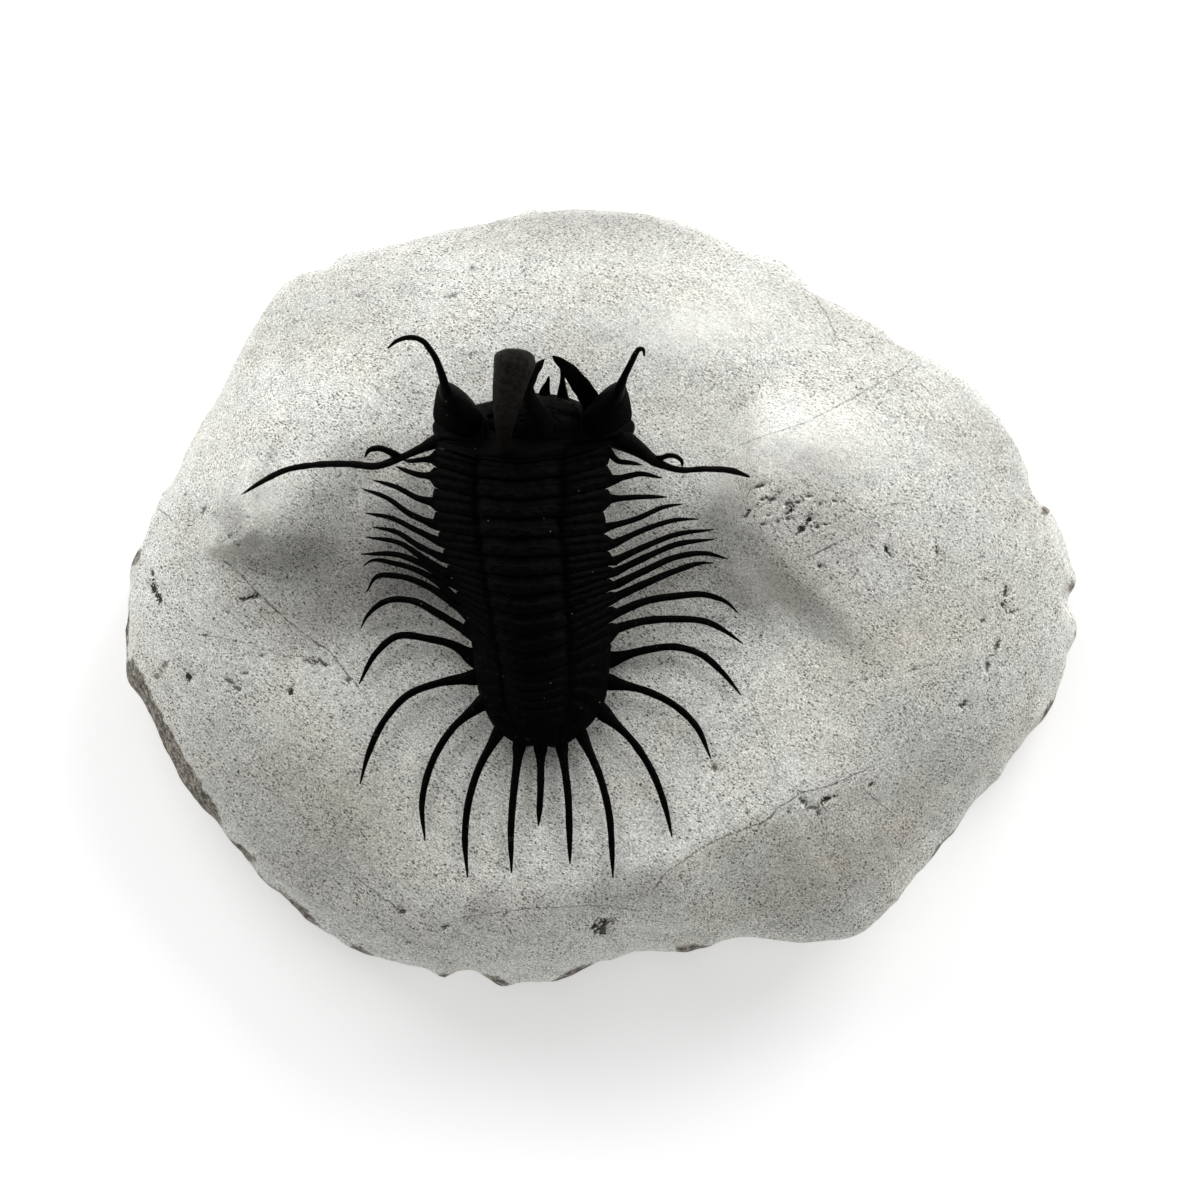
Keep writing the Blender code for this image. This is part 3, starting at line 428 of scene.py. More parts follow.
# Pits of the stone: picture point, half length, half width in pixels, the
# direction of the length in degrees from the picture's right, and darkness
PITS = (
    (763, 499, 2.6, 1.6, 20, 0.8), (770, 503, 2.0, 1.5, 0, 0.8), (798, 502, 3.0, 1.6, 10, 0.8),
    (787, 513, 3.2, 2.2, 35, 0.9), (768, 515, 2.4, 1.5, -20, 0.8), (820, 504, 2.6, 1.6, 0, 0.7),
    (778, 521, 2.2, 1.5, 40, 0.8), (757, 487, 2.4, 1.3, 0, 0.7), (826, 524, 2.4, 1.5, 15, 0.7),
    (838, 562, 2.6, 1.6, 70, 0.8), (921, 578, 2.0, 1.4, 30, 0.7), (868, 590, 2.4, 1.4, 40, 0.7),
    (602, 926, 12, 3.4, 40, 1.0), (594, 927, 6, 3.0, 60, 1.0), (610, 921, 7, 2.6, -10, 1.0),
    (604, 932, 4.5, 2.6, 90, 0.9), (803, 801, 5, 2.6, -30, 0.8), (812, 807, 5, 2.2, 0, 0.7),
    (826, 799, 5.5, 2.6, 30, 1.0), (834, 796, 4, 1.8, 10, 0.9), (818, 812, 3.4, 2.4, -60, 0.8),
    (788, 812, 2.4, 1.8, 0, 0.9), (871, 784, 3.4, 1.9, 35, 0.9), (1005, 592, 2.4, 7, -8, 0.9),
    (1003, 605, 4.5, 2.0, -60, 0.9), (1013, 611, 4.5, 1.8, 25, 0.8), (886, 549, 1.9, 4.2, 0, 1.0),
    (893, 556, 2.4, 1.8, 0, 0.7), (936, 540, 1.2, 4.5, 0, 0.7), (937, 552, 1.6, 4.5, 0, 0.8),
    (983, 620, 2.4, 3.2, 0, 0.8), (997, 645, 2.6, 8, -15, 0.8), (988, 666, 3.0, 6, -10, 0.8),
    (963, 704, 5.5, 2.6, 40, 0.9), (852, 682, 3.0, 1.4, 20, 0.7), (866, 679, 3.2, 1.4, 15, 0.7),
    (880, 676, 4.0, 1.4, 10, 0.7), (913, 669, 5.5, 1.6, 25, 0.8), (750, 510, 3.4, 2.4, 0, 1.0),
    (791, 510, 4.0, 2.6, 40, 1.0), (809, 519, 4.2, 3.0, 40, 1.0), (802, 528, 4.6, 3.2, 45, 1.0),
    (797, 533, 2.6, 1.4, 40, 0.8), (817, 527, 1.9, 2.6, 0, 0.9), (773, 499, 3.4, 2.6, 0, 0.9),
    (788, 503, 4.2, 2.2, 30, 0.8), (762, 485, 3.2, 2.2, 0, 0.9), (820, 566, 3.0, 2.8, -20, 0.9),
    (788, 518, 3.0, 2.2, 0, 0.8), (745, 516, 2.8, 2.0, 0, 0.8), (809, 496, 3.2, 2.0, 0, 0.7),
    (834, 501, 3.0, 1.6, -20, 0.7), (763, 524, 3.0, 2.0, 0, 0.7), (779, 492, 2.8, 2.0, 0, 0.7),
    (152, 572, 1.8, 5, 20, 0.9), (154, 588, 4.0, 6, 20, 1.0), (160, 599, 3.2, 4.2, 30, 1.0),
    (247, 598, 10, 2.0, 14, 1.0), (256, 595.5, 3.6, 2.8, 0, 1.0), (228, 612, 5, 2.0, -30, 0.6),
    (189, 676, 3.6, 4.6, 0, 1.0), (229, 680, 4.4, 2.4, -30, 0.8), (238, 688, 4.6, 2.4, -35, 0.8),
    (245, 673, 4.2, 2.0, 0, 0.8), (291, 691, 2.6, 4.6, -20, 1.0), (204, 509, 1.9, 5.4, -25, 0.8),
    (186, 493, 1.6, 3.4, -15, 0.5), (158, 676, 5, 3.0, 30, 0.6), (165, 664, 4.2, 2.8, 20, 0.6),
    (205, 635, 3.0, 1.6, 0, 0.8), (262, 655, 1.8, 1.8, 0, 0.7), (315, 662, 4.5, 2.4, 40, 0.9),
    (325, 664, 4.0, 2.2, -40, 0.9), (348, 680, 3.0, 2.6, 0, 0.8), (306, 660, 3.0, 2.4, 30, 0.6),
    (360, 295, 6, 2.0, 20, 0.5), (450, 296, 7, 2.0, 10, 0.5), (472, 268, 3, 2.0, 0, 0.6),
    (453, 315, 2.0, 4.0, 20, 0.5), (415, 393, 4.0, 2.2, 0, 0.5), (470, 355, 3.0, 1.8, 0, 0.5),
    (783, 403, 2.4, 2.0, 0, 0.4), (402, 911, 5.5, 2.6, 0, 0.8), (446, 926, 5.5, 2.8, 20, 0.8),
    (1045, 513, 3.0, 2.4, 0, 0.9), (1070, 590, 4.0, 6.0, 0, 1.0), (714, 768, 3.4, 3.8, 20, 0.75),
    (353, 490, 4.4, 1.2, 10, 0.6), (313, 496, 1.4, 3.0, 20, 0.5), (274, 537, 3.6, 1.0, 50, 0.6),
    (288, 537, 3.0, 1.0, 50, 0.6), (229, 538, 3.0, 1.4, 20, 0.7), (238, 545, 2.2, 1.6, 0, 0.7),
    (222, 542, 2.6, 1.4, 30, 0.6), (232, 533, 2.0, 1.4, 0, 0.6), (248, 517, 1.8, 1.4, 0, 0.6),
)

# Patches of colour by kind: picture point, half length, half width, direction. Some kinds paint
# light and shade, as noted at each
PATCHES = {
    # Painted light: pale patches where the top and the near flank look lit brighter, with a few
    # small pale chips
    "painted_light_and_chips": (
        (442, 906, 36, 15, 8), (662, 894, 38, 12, 28), (848, 776, 46, 11, 16),
        (944, 490, 6, 2.6, -50), (662, 350, 5, 2, 0), (783, 402, 5, 2.4, 0),
        (722, 486, 15, 22, -10), (780, 508, 54, 42, 0), (752, 566, 16, 30, -30),
        (870, 560, 60, 40, 0), (165, 630, 34, 50, 0), (196, 537, 6, 20, -35),
        (690, 330, 60, 18, 5), (812, 457, 84, 36, -5),
    ),
    # Painted shade: darker patches in the bowls beside the rests and along the head-side top
    "painted_shade": (
        (716, 522, 18, 20, 0), (232, 520, 14, 22, 20), (300, 560, 56, 28, -10),
        (385, 590, 90, 50, 20), (745, 600, 40, 14, -50), (610, 206, 170, 30, 3),
        (330, 622, 50, 28, 15),
    ),
    # Iron stains, and painted brown shade under the nose's end and along the dark valley beside
    # the right rest
    "ochre_and_painted_shade": (
        (782, 502, 46, 24, -25), (270, 614, 11, 5, 18), (606, 928, 8, 5, 20),
        (231, 552, 15, 4, 0), (768, 506, 34, 22, -20), (800, 575, 60, 26, -45),
        (826, 801, 5, 3, 0), (504, 459, 3, 4, 0), (160, 668, 12, 12, 0), (700, 862, 60, 10, 28),
        (714, 767, 5, 5, 0), (905, 640, 90, 34, 20), (860, 850, 110, 30, 25),
        (340, 800, 70, 40, -40),
    ),
    # Painted shade, fainter: darker patches by the bowls, along the bottom edge and round the
    # top's rim
    "faint_painted_shade": (
        (320, 610, 90, 34, 10), (300, 870, 90, 34, -42), (815, 610, 50, 22, -40),
        (560, 896, 110, 22, 5), (600, 225, 190, 60, 0), (850, 310, 200, 55, -35),
        (1000, 440, 110, 60, -60), (350, 295, 100, 45, 15), (320, 850, 120, 60, -45),
        (870, 850, 90, 50, 35),
    ),
    "smooth": (
        (800, 448, 80, 26, -5), (722, 492, 13, 26, 0), (690, 330, 80, 26, 5),
        (262, 500, 26, 20, 40), (240, 545, 30, 8, 10), (770, 590, 40, 16, -40),
    ),
    "rind": (
        (364, 955, 16, 5, -30), (448, 977, 10, 4, 0), (490, 981, 20, 5, -10),
        (570, 976, 26, 5, 30), (694, 949, 20, 5, 5), (1074, 592, 4, 11, 10),
        (1046, 510, 4, 4, 0), (134, 558, 5, 10, -40), (127, 620, 2.5, 44, 0),
        (300, 910, 26, 4, -42), (240, 850, 26, 4, -42), (950, 838, 26, 3, 45),
        (830, 943, 20, 3, 0), (1050, 708, 16, 3, 55),
    ),
}


def mix(a, b, share):
    """Straight blend from a to b."""
    return a + (b - a) * share


def ramp(value, start, end):
    """Smooth step from 0 at start to 1 at end."""
    share = np.clip((value - start) / (end - start), 0.0, 1.0)
    return share * share * (3.0 - 2.0 * share)


def unit(vectors):
    """Vectors scaled to length 1."""
    return vectors / np.maximum(np.linalg.norm(vectors, axis=-1, keepdims=True), 1e-12)


def curve_at(knots, values, places):
    """Cubic through values at uneven knots, read at the places.

    Its slope at a knot is that of the parabola through it and its neighbours.
    """
    knots = np.asarray(knots, dtype=float)
    values = np.asarray(values, dtype=float)
    slopes = np.gradient(values, knots, axis=0)
    places = np.atleast_1d(np.asarray(places, dtype=float))
    index = np.clip(np.searchsorted(knots, places, side="right") - 1, 0, len(knots) - 2)
    span = knots[index + 1] - knots[index]
    t = (places - knots[index]) / span
    shape = (-1,) + (1,) * (values.ndim - 1)
    t = t.reshape(shape)
    span = span.reshape(shape)
    start_part = (2 * t**3 - 3 * t**2 + 1) * values[index]
    start_slope = (t**3 - 2 * t**2 + t) * span * slopes[index]
    end_part = (3 * t**2 - 2 * t**3) * values[index + 1]
    end_slope = (t**3 - t**2) * span * slopes[index + 1]
    return start_part + start_slope + end_part + end_slope


def crowded(count, crowding=0.0):
    """Shares from 0 to 1, even or closer together towards 1."""
    even = np.linspace(0.0, 1.0, count)
    return even + crowding * np.sin(math.pi * even) / math.pi


def smooth(points, count, crowding=0.0):
    """Samples of the smooth curve through the points, by length along it."""
    points = np.asarray(points, dtype=float)
    lengths = np.linalg.norm(np.diff(points, axis=0), axis=1)
    knots = np.concatenate(([0.0], np.cumsum(lengths)))
    return curve_at(knots, points, knots[-1] * crowded(count, crowding))


def point_at(pixels, height):
    """Points at the given heights on the lines of sight through the pixels."""
    pixels = np.asarray(pixels, dtype=float)
    height = np.broadcast_to(np.asarray(height, dtype=float), pixels.shape[:-1])
    across = (pixels[..., 0:1] - PICTURE_CENTRE) * PIXEL / SIGHT_DISTANCE
    along = (PICTURE_CENTRE - pixels[..., 1:2]) * PIXEL / SIGHT_DISTANCE
    ray = np.array((1.0, 0.0, 0.0)) * across + SIGHT_UP * along - SIGHT_BACK
    reach = (height[..., None] - SIGHT_EYE[2]) / ray[..., 2:3]
    return SIGHT_EYE + ray * reach


def picture_of(points):
    """Picture points of points in space: the reverse of point_at."""
    from_eye = points - SIGHT_EYE
    depth = -(from_eye @ SIGHT_BACK)
    scale = SIGHT_DISTANCE / PIXEL / depth
    right = PICTURE_CENTRE + from_eye[..., 0] * scale
    down = PICTURE_CENTRE - (from_eye @ SIGHT_UP) * scale
    return np.stack((right, down), axis=-1)


def value_noise(points, size, seed):
    """Smooth random field from -1 to 1: values on a cubic lattice of the given
    size that repeats, blended between the eight corners round each point."""
    lattice = np.random.default_rng(seed).uniform(-1.0, 1.0, (32, 32, 32))
    where = points / size
    cell = np.floor(where).astype(int)
    part = where - cell
    part = part * part * (3.0 - 2.0 * part)
    total = np.zeros(points.shape[:-1])
    for corner in np.ndindex(2, 2, 2):
        weight = np.prod(np.where(corner, part, 1.0 - part), axis=-1)
        index = (cell + corner) % 32
        total += weight * lattice[index[..., 0], index[..., 1], index[..., 2]]
    return total


def rough_noise(points, size, seed, octaves):
    """Sum of value noises, each half the size and half the height of the last."""
    total = np.zeros(points.shape[:-1])
    for octave in range(octaves):
        total += 0.5**octave * value_noise(points, size * 0.5**octave, seed + octave)
    return total


def ridge(x, y, start, end, sides, ends, flat=0.28, spread=0.0):
    """1 on the line from start to end, falling to 0 across it and at its ends.

    The falls are as wide as the two sides say, right and then left of the
    line seen from start towards end, and as long as the two ends say. The
    first share of each, flat, stays level, and both sides widen by the spread
    towards the line's end.
    """
    direction = np.subtract(end, start)
    length = math.hypot(*direction)
    direction = direction / length
    along = (x - start[0]) * direction[0] + (y - start[1]) * direction[1]
    side = (x - start[0]) * direction[1] - (y - start[1]) * direction[0]
    beyond = np.maximum(-along, 0.0) / ends[0] + np.maximum(along - length, 0.0) / ends[1]
    across = np.where(side > 0.0, side / sides[0], -side / sides[1])
    across = across / (1.0 + spread * ramp(along, 0.2 * length, 1.3 * length))
    return 1.0 - ramp(np.hypot(beyond, across), flat, 1.0)


def bell(offset, width):
    """Bell curve of height 1 at no offset, and of 0.61 at one width."""
    return np.exp(-0.5 * (offset / width) ** 2)


def mound(x, y, centre, radii):
    """Bell-shaped mound of height 1."""
    return bell(x - centre[0], radii[0]) * bell(y - centre[1], radii[1])


def ground(x, y):
    """Height of the stone's worked top under a plan point, before its rim.

    A floor that steps up towards the head, the left rest as the higher of a
    blunt nose and a low shelf, the right rest as the higher of a spur and a
    crest, which both fade to the tail side, less the hollows beside them.
    """
    x = x / MM
    y = (y - SIGHT_TARGET[1]) / MM
    left = np.maximum(ridge(x, y, *LEFT_NOSE), SHELF_SHARE * ridge(x, y, *LEFT_SHELF))
    right = np.maximum(ridge(x, y, *RIGHT_SPUR), ridge(x, y, *RIGHT_CREST))
    fade = mix(0.35, 1.0, ramp(y - x, -30.0, -6.0))
    hollows = sum(depth * mound(x, y, *place) for depth, *place in HOLLOWS)
    return (
        FLOOR_HEIGHT
        + HEAD_END_RISE * ramp(y, -4.0, 15.0)
        + LEFT_REST_HEIGHT * left
        + RIGHT_REST_HEIGHT * right * fade
        - hollows * MM
    )


def outline_radius(angles):
    """Distance from the stone's middle to its widest outline at each angle."""
    corners = OUTLINE_PIXELS[-2:] + OUTLINE_PIXELS + OUTLINE_PIXELS[:3]
    pixels = smooth(corners, 12 * len(corners))
    points = point_at(pixels, WIDEST_HEIGHT)
    where = np.arctan2(points[:, 1], points[:, 0])
    order = np.argsort(where)
    radius = np.hypot(points[:, 0], points[:, 1])
    return np.interp(angles, where[order], radius[order], period=TURN)


def sector_angles():
    """Directions of the stone's sectors, closer together across the rests."""
    degrees = np.linspace(-180.0, 180.0, 721)
    density = np.ones(len(degrees))
    for middle, spread in REST_SECTORS:
        density += 0.7 * bell(degrees - middle, spread)
    total = np.cumsum(density) - density[0]
    shares = np.arange(STONE_SECTORS) / STONE_SECTORS
    return np.radians(np.interp(shares * total[-1], total, degrees))


class BodySheet:
    """Outer surface of the animal, by station along it and place across it.

    At a station the surface is an arch from the left edge over the crest to
    the right edge: a quarter of an ellipse on each side with the raised axis
    added in the middle.
    """

    def __init__(self):
        joints = np.arange(SEGMENTS + 1)
        share = joints / SEGMENTS
        marks = np.linspace(0.0, 1.0, len(CREST_HEIGHTS))
        crest_height = curve_at(marks, CREST_HEIGHTS, share)
        edge_height = curve_at(marks, EDGE_HEIGHTS, share)
        crest = smooth(CREST_PIXELS, SEGMENTS + 1)
        left = self.joint_edges(LEFT_SPINES, FIRST_JOINT_EDGES[0], LAST_JOINT_EDGES[0])
        right = self.joint_edges(RIGHT_SPINES, FIRST_JOINT_EDGES[1], LAST_JOINT_EDGES[1])
        rows = [(station, left[station], crest[station], right[station],
                 edge_height[station], crest_height[station]) for station in joints]
        rows = list(HEAD_ROWS) + rows + list(TAIL_ROWS)
        self.stations = np.array([row[0] for row in rows])
        edges = np.array([row[4] for row in rows]) * MM
        crests = np.array([row[5] for row in rows]) * MM
        self.left = point_at([row[1] for row in rows], edges)
        self.crest = point_at([row[2] for row in rows], crests)
        self.right = point_at([row[3] for row in rows], edges)

    @staticmethod
    def joint_edges(spines, first, last):
        """Edge points of the joints: halfway between the feet of the spines."""
        feet = np.array([spine[0] for spine in spines], dtype=float)
        halves = (feet[:-1] + feet[1:]) / 2
        return np.vstack((first, halves, last))

    def lines(self, stations):
        """Points of the crest, the left edge and the right edge at the stations."""
        return [curve_at(self.stations, line, stations)
                for line in (self.crest, self.left, self.right)]

    def at(self, station, across, lowered=0.0, tucked=0.0):
        """Surface points; across runs from -1 at the left edge to 1 at the right."""
        station, across = np.broadcast_arrays(station, across)
        flat = station.ravel()
        crest, left, right = self.lines(flat)
        place = across.ravel()
        edge = np.where(place[:, None] < 0.0, left, right)
        away = np.abs(place)
        half_width = np.maximum(np.abs(edge[:, 0] - crest[:, 0]), 2.0 * tucked)
        side = away * (1.0 - tucked / half_width)
        arch = ARCH_SHARE * np.sqrt(np.clip(1.0 - away**ARCH_POWER, 0.0, 1.0))
        axis = AXIS_RISE * np.sqrt(np.clip(1.0 - (away / AXIS_SHARE) ** 2, 0.0, 1.0))
        x = mix(crest[:, 0], edge[:, 0], side)
        y = mix(crest[:, 1], edge[:, 1], away**SWEEP_POWER)
        z = mix(edge[:, 2], crest[:, 2], arch + axis) - lowered
        return np.stack((x, y, z), axis=-1).reshape(station.shape + (3,))

    def under(self, x, y):
        """Height of the rock under the shell at plan points, and how far inside
        the body's outline they lie, 0 outside and 1 inside.

        The station is found by steps: each moves it by how far the line across
        the body at that station misses the point.
        """
        table = np.linspace(self.stations[0], self.stations[-1], 500)
        crest, left, right = self.lines(table)
        station = np.interp(-y, -crest[:, 1], table)
        for _ in range(12):
            middle = [np.interp(station, table, crest[:, axis]) for axis in range(2)]
            on_left = x < middle[0]
            edge = [
                np.where(on_left, np.interp(station, table, left[:, axis]),
                         np.interp(station, table, right[:, axis]))
                for axis in range(2)
            ]
            away = np.clip((x - middle[0]) / (edge[0] - middle[0]), 0.0, 1.4)
            missed = mix(middle[1], edge[1], away**SWEEP_POWER) - y
            station = np.clip(station + 0.7 * missed / (2.5 * MM), 0.0, 16.0)
        place = np.where(on_left, -away, away)
        rock = self.at(station, np.clip(place, -1.0, 1.0), SHELL * 0.9)[..., 2]
        inside = 1.0 - ramp(away, 0.90, 0.985)
        inside = inside * ramp(station, 0.02, 0.4) * (1.0 - ramp(station, 15.2, 15.7))
        return rock, inside


def wrap(rings, start, end):
    """Vertices and faces of a closed tube over rings that turn the same way.

    The rings run from start to end, which are points that close it with fans.
    """
    rings = np.asarray(rings, dtype=float)
    count, sides = rings.shape[:2]
    here = np.arange((count - 1) * sides).reshape(count - 1, sides)
    after = np.roll(here, -1, axis=1)
    quads = np.stack((here, after, after + sides, here + sides), axis=-1).reshape(-1, 4)
    vertices = np.vstack((rings.reshape(-1, 3), start, end))
    first = np.arange(sides)
    last = (count - 1) * sides + first
    first_pole = np.full(sides, count * sides)
    fans = np.vstack((
        np.stack((np.roll(first, -1), first, first_pole), axis=-1),
        np.stack((last, np.roll(last, -1), first_pole + 1), axis=-1),
    ))
    return vertices, quads, fans


def capped(rings):
    """The closed tube over rings that is closed at the middles of its ends."""
    return wrap(rings, rings[0].mean(axis=0), rings[-1].mean(axis=0))


def joined(parts):
    """One set of vertices, quads and triangles from several."""
    offsets = np.cumsum([0] + [len(part[0]) for part in parts[:-1]])
    vertices = np.vstack([part[0] for part in parts])
    quads = np.vstack([part[1] + shift for part, shift in zip(parts, offsets)])
    fans = np.vstack([part[2] + shift for part, shift in zip(parts, offsets)])
    return vertices, quads, fans


def outward(vertices, quads, fans):
    """The same faces turned so that the volume they enclose is positive."""
    triangles = np.vstack((quads[:, (0, 1, 2)], quads[:, (0, 2, 3)], fans))
    corner = vertices[triangles]
    volume = np.sum(np.cross(corner[:, 0], corner[:, 1]) * corner[:, 2])
    if volume < 0.0:
        return vertices, quads[:, ::-1], fans[:, ::-1]
    return vertices, quads, fans


def placed(name, data):
    """New object of the data in the scene."""
    made = bpy.data.objects.new(name, data)
    bpy.context.scene.collection.objects.link(made)
    return made


def add_piece(name, surface, material, slot, nodes, **fields):
    """Mesh object from a surface, riding on the root body in place of the nodes.

    Each field is a number per vertex that the material reads by its name.
    """
    vertices, quads, fans = surface
    mesh = bpy.data.meshes.new(name)
    mesh.from_pydata(vertices.tolist(), [], quads.tolist() + fans.tolist())
    for field, values in fields.items():
        layer = mesh.attributes.new(field, "FLOAT", "POINT")
        layer.data.foreach_set("value", np.asarray(values, dtype=np.float32))
    mesh.materials.append(material)
    mesh.shade_smooth()
    mesh.set_sharp_from_angle(angle=SHARP_ANGLE)
    piece = placed(name, mesh)
    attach(piece, "root")
    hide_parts(*nodes)


def grid_normals(grid):
    """Unit normals of a grid of points whose second direction may be closed."""
    down = np.gradient(grid, axis=0)
    along = np.roll(grid, -1, axis=1) - np.roll(grid, 1, axis=1)
    return unit(np.cross(along, down))


def knobs(points, centres, radius, height):
    """Height of small round tubercles at points: a cosine bell at each centre."""
    total = np.zeros(points.shape[:-1])
    for centre in centres:
        distance = np.linalg.norm(points - centre, axis=-1) / radius
        cosine = np.cos(math.pi * np.clip(distance, 0.0, 1.0))
        total = np.maximum(total, height * 0.5 * (1.0 + cosine))
    return total


def tube(path, wide, thick, sides, lead=(0.0, 0.0, 1.0)):
    """Rings round a path: ellipses with the given half width and half height.

    The half height of a ring points along the lead vector as far as the
    path's direction lets it, and the half width lies across both.
    """
    heading = unit(np.gradient(path, axis=0))
    lead = np.asarray(lead, dtype=float)
    upward = unit(lead - heading * (heading @ lead)[:, None])
    sideways = np.cross(upward, heading)
    angles = np.arange(sides)[None, :, None] * TURN / sides
    return (path[:, None]
            + np.cos(angles) * (sideways * wide[:, None])[:, None]
            + np.sin(angles) * (upward * thick[:, None])[:, None])


def spine_course(pixels, foot_height, arch, clearance, count):
    """Course of a spine from its picture points.

    Its height goes from the foot's to just above the ground at the tip, with
    an arch between them, and never nearer the ground than the clearance.
    """
    flat = smooth(pixels, count)
    along = np.linspace(0.0, 1.0, count)
    height = np.full(count, foot_height)
    for _ in range(5):
        points = point_at(flat, height)
        lowest = ground(points[:, 0], points[:, 1]) + clearance
        height = mix(foot_height, lowest[-1], along) + arch * 4.0 * along * (1.0 - along)
        height = np.maximum(height, lowest)
    return point_at(flat, height)


def growth(rows, count, sides, flatness):
    """Rings along a course of picture points, heights and radii, whose tip is
    rounded off as a superellipse, and the course itself."""
    rows = smooth(rows, count, TIP_CROWDING)
    close = (crowded(count, TIP_CROWDING) - 1.0 + BLUNT_SHARE) / BLUNT_SHARE
    close = np.clip(close, 0.0, 1.0)
    radii = np.maximum(rows[:, 3] * (1.0 - close**BLUNT_POWER) ** (1.0 / BLUNT_POWER), 0.03) * MM
    path = point_at(rows[:, :2], rows[:, 2] * MM)
    lowest = ground(path[:, 0], path[:, 1]) + radii * 1.2
    path = point_at(rows[:, :2], np.maximum(rows[:, 2] * MM, lowest))
    radii = radii * (1.0 + 0.13 * value_noise(path, *HORN_WAVER) * (radii < 0.7 * MM))
    rings = tube(path, radii * flatness, radii, sides, lead=(0.0, -0.5, 1.0))
    return rings, path


def maths(operation, turned=False):
    """A method of Wire that adds the Math node of an operation; turned puts the
    wire itself last."""
    def method(wire, *others):
        values = (*others, wire) if turned else (wire, *others)
        inputs = dict(enumerate(values))
        return wire.finish.node("ShaderNodeMath", {"operation": operation}, inputs)[0]
    return method


class Wire:
    """One output of a shader node; arithmetic on it adds Math nodes."""

    __add__ = maths("ADD")
    __radd__ = maths("ADD", turned=True)
    __sub__ = maths("SUBTRACT")
    __rsub__ = maths("SUBTRACT", turned=True)
    __mul__ = maths("MULTIPLY")
    __rmul__ = maths("MULTIPLY", turned=True)
    __truediv__ = maths("DIVIDE")
    __pow__ = maths("POWER")
    __abs__ = maths("ABSOLUTE")
    most = maths("MAXIMUM")
    least = maths("MINIMUM")

    def __init__(self, finish, socket):
        self.finish = finish
        self.socket = socket

    def step(self, start, end):
        """Smooth step from 0 at start to 1 at end, in either order."""
        rising = start < end
        settings = {"interpolation_type": "SMOOTHSTEP"}
        values = {"Value": self, "From Min": min(start, end), "From Max": max(start, end),
                  "To Min": float(not rising), "To Max": float(rising)}
        return self.finish.node("ShaderNodeMapRange", settings, values)[0]


class Finish:
    """A material and the nodes that make up its look."""

    def __init__(self, name, **constants):
        self.material = bpy.data.materials.new(name)
        self.material.use_nodes = True
        self.tree = self.material.node_tree
        self.shader = self.tree.nodes["Principled BSDF"]
        for socket, value in constants.items():
            self.shader.inputs[socket.replace("_", " ")].default_value = value
        self.place = self.node("ShaderNodeTexCoord", {}, {})["Object"]
        self.colour = WHITE

    def node(self, kind, settings, values):
        """Outputs of a new node, as wires, by name or number."""
        node = self.tree.nodes.new(kind)
        for setting, value in settings.items():
            setattr(node, setting, value)
        for socket, value in values.items():
            if isinstance(value, Wire):
                self.tree.links.new(value.socket, node.inputs[socket])
            else:
                node.inputs[socket].default_value = value
        wires = {output.name: Wire(self, output) for output in node.outputs}
        wires.update({index: Wire(self, output) for index, output in enumerate(node.outputs)})
        return wires

    def feed(self, socket, wire):
        """Links a wire to a socket of the shader."""
        self.tree.links.new(wire.socket, self.shader.inputs[socket])

    def field(self, name):
        """A number that the mesh holds for each vertex."""
        return self.node("ShaderNodeAttribute", {"attribute_name": name}, {})["Fac"]

    def stretched(self, scale, turn=0.0):
        """Object coordinates turned about Z and then scaled along each axis."""
        settings = {"vector_type": "TEXTURE"}
        sizes = tuple(1.0 / value for value in scale)
        values = {"Vector": self.place, "Rotation": (0.0, 0.0, turn), "Scale": sizes}
        return self.node("ShaderNodeMapping", settings, values)[0]

    def noise(self, size, detail=2.0, roughness=0.5, where=None):
        """Noise from 0 to 1 whose lumps are about size metres across."""
        values = {"Vector": where or self.place, "Scale": 1.0 / size, "Detail": detail,
                  "Roughness": roughness}
        return self.node("ShaderNodeTexNoise", {"noise_dimensions": "3D"}, values)[0]

    def dots(self, size, where=None):
        """Distance from the nearest of scattered points, and a random number each."""
        values = {"Vector": where or self.place, "Scale": 1.0 / size}
        made = self.node("ShaderNodeTexVoronoi", {"feature": "F1"}, values)
        chance = self.node("ShaderNodeSeparateColor", {}, {0: made["Color"]})[0]
        return made["Distance"], chance

    def blend(self, share, under, over, kind="MIX"):
        """Colour mixed from under to over by a share."""
        settings = {"data_type": "RGBA", "blend_type": kind}
        return self.node("ShaderNodeMix", settings, {0: share, 6: under, 7: over})[2]

    def coat(self, share, colour, scale=1.0):
        """Lays a colour, scaled in brightness, over the colour so far by a share."""
        self.colour = self.blend(share, self.colour, opaque(colour, scale))

    def bump(self, heights, distance):
        """Feeds the shader's normal with bumps, heights being in units of distance."""
        values = {"Height": heights, "Distance": distance, "Strength": 1.0}
        self.feed("Normal", self.node("ShaderNodeBump", {}, values)[0])


def opaque(colour, scale=1.0):
    """Four numbers of a colour, scaled in brightness."""
    return (*(min(1.0, channel * scale) for channel in colour), 1.0)


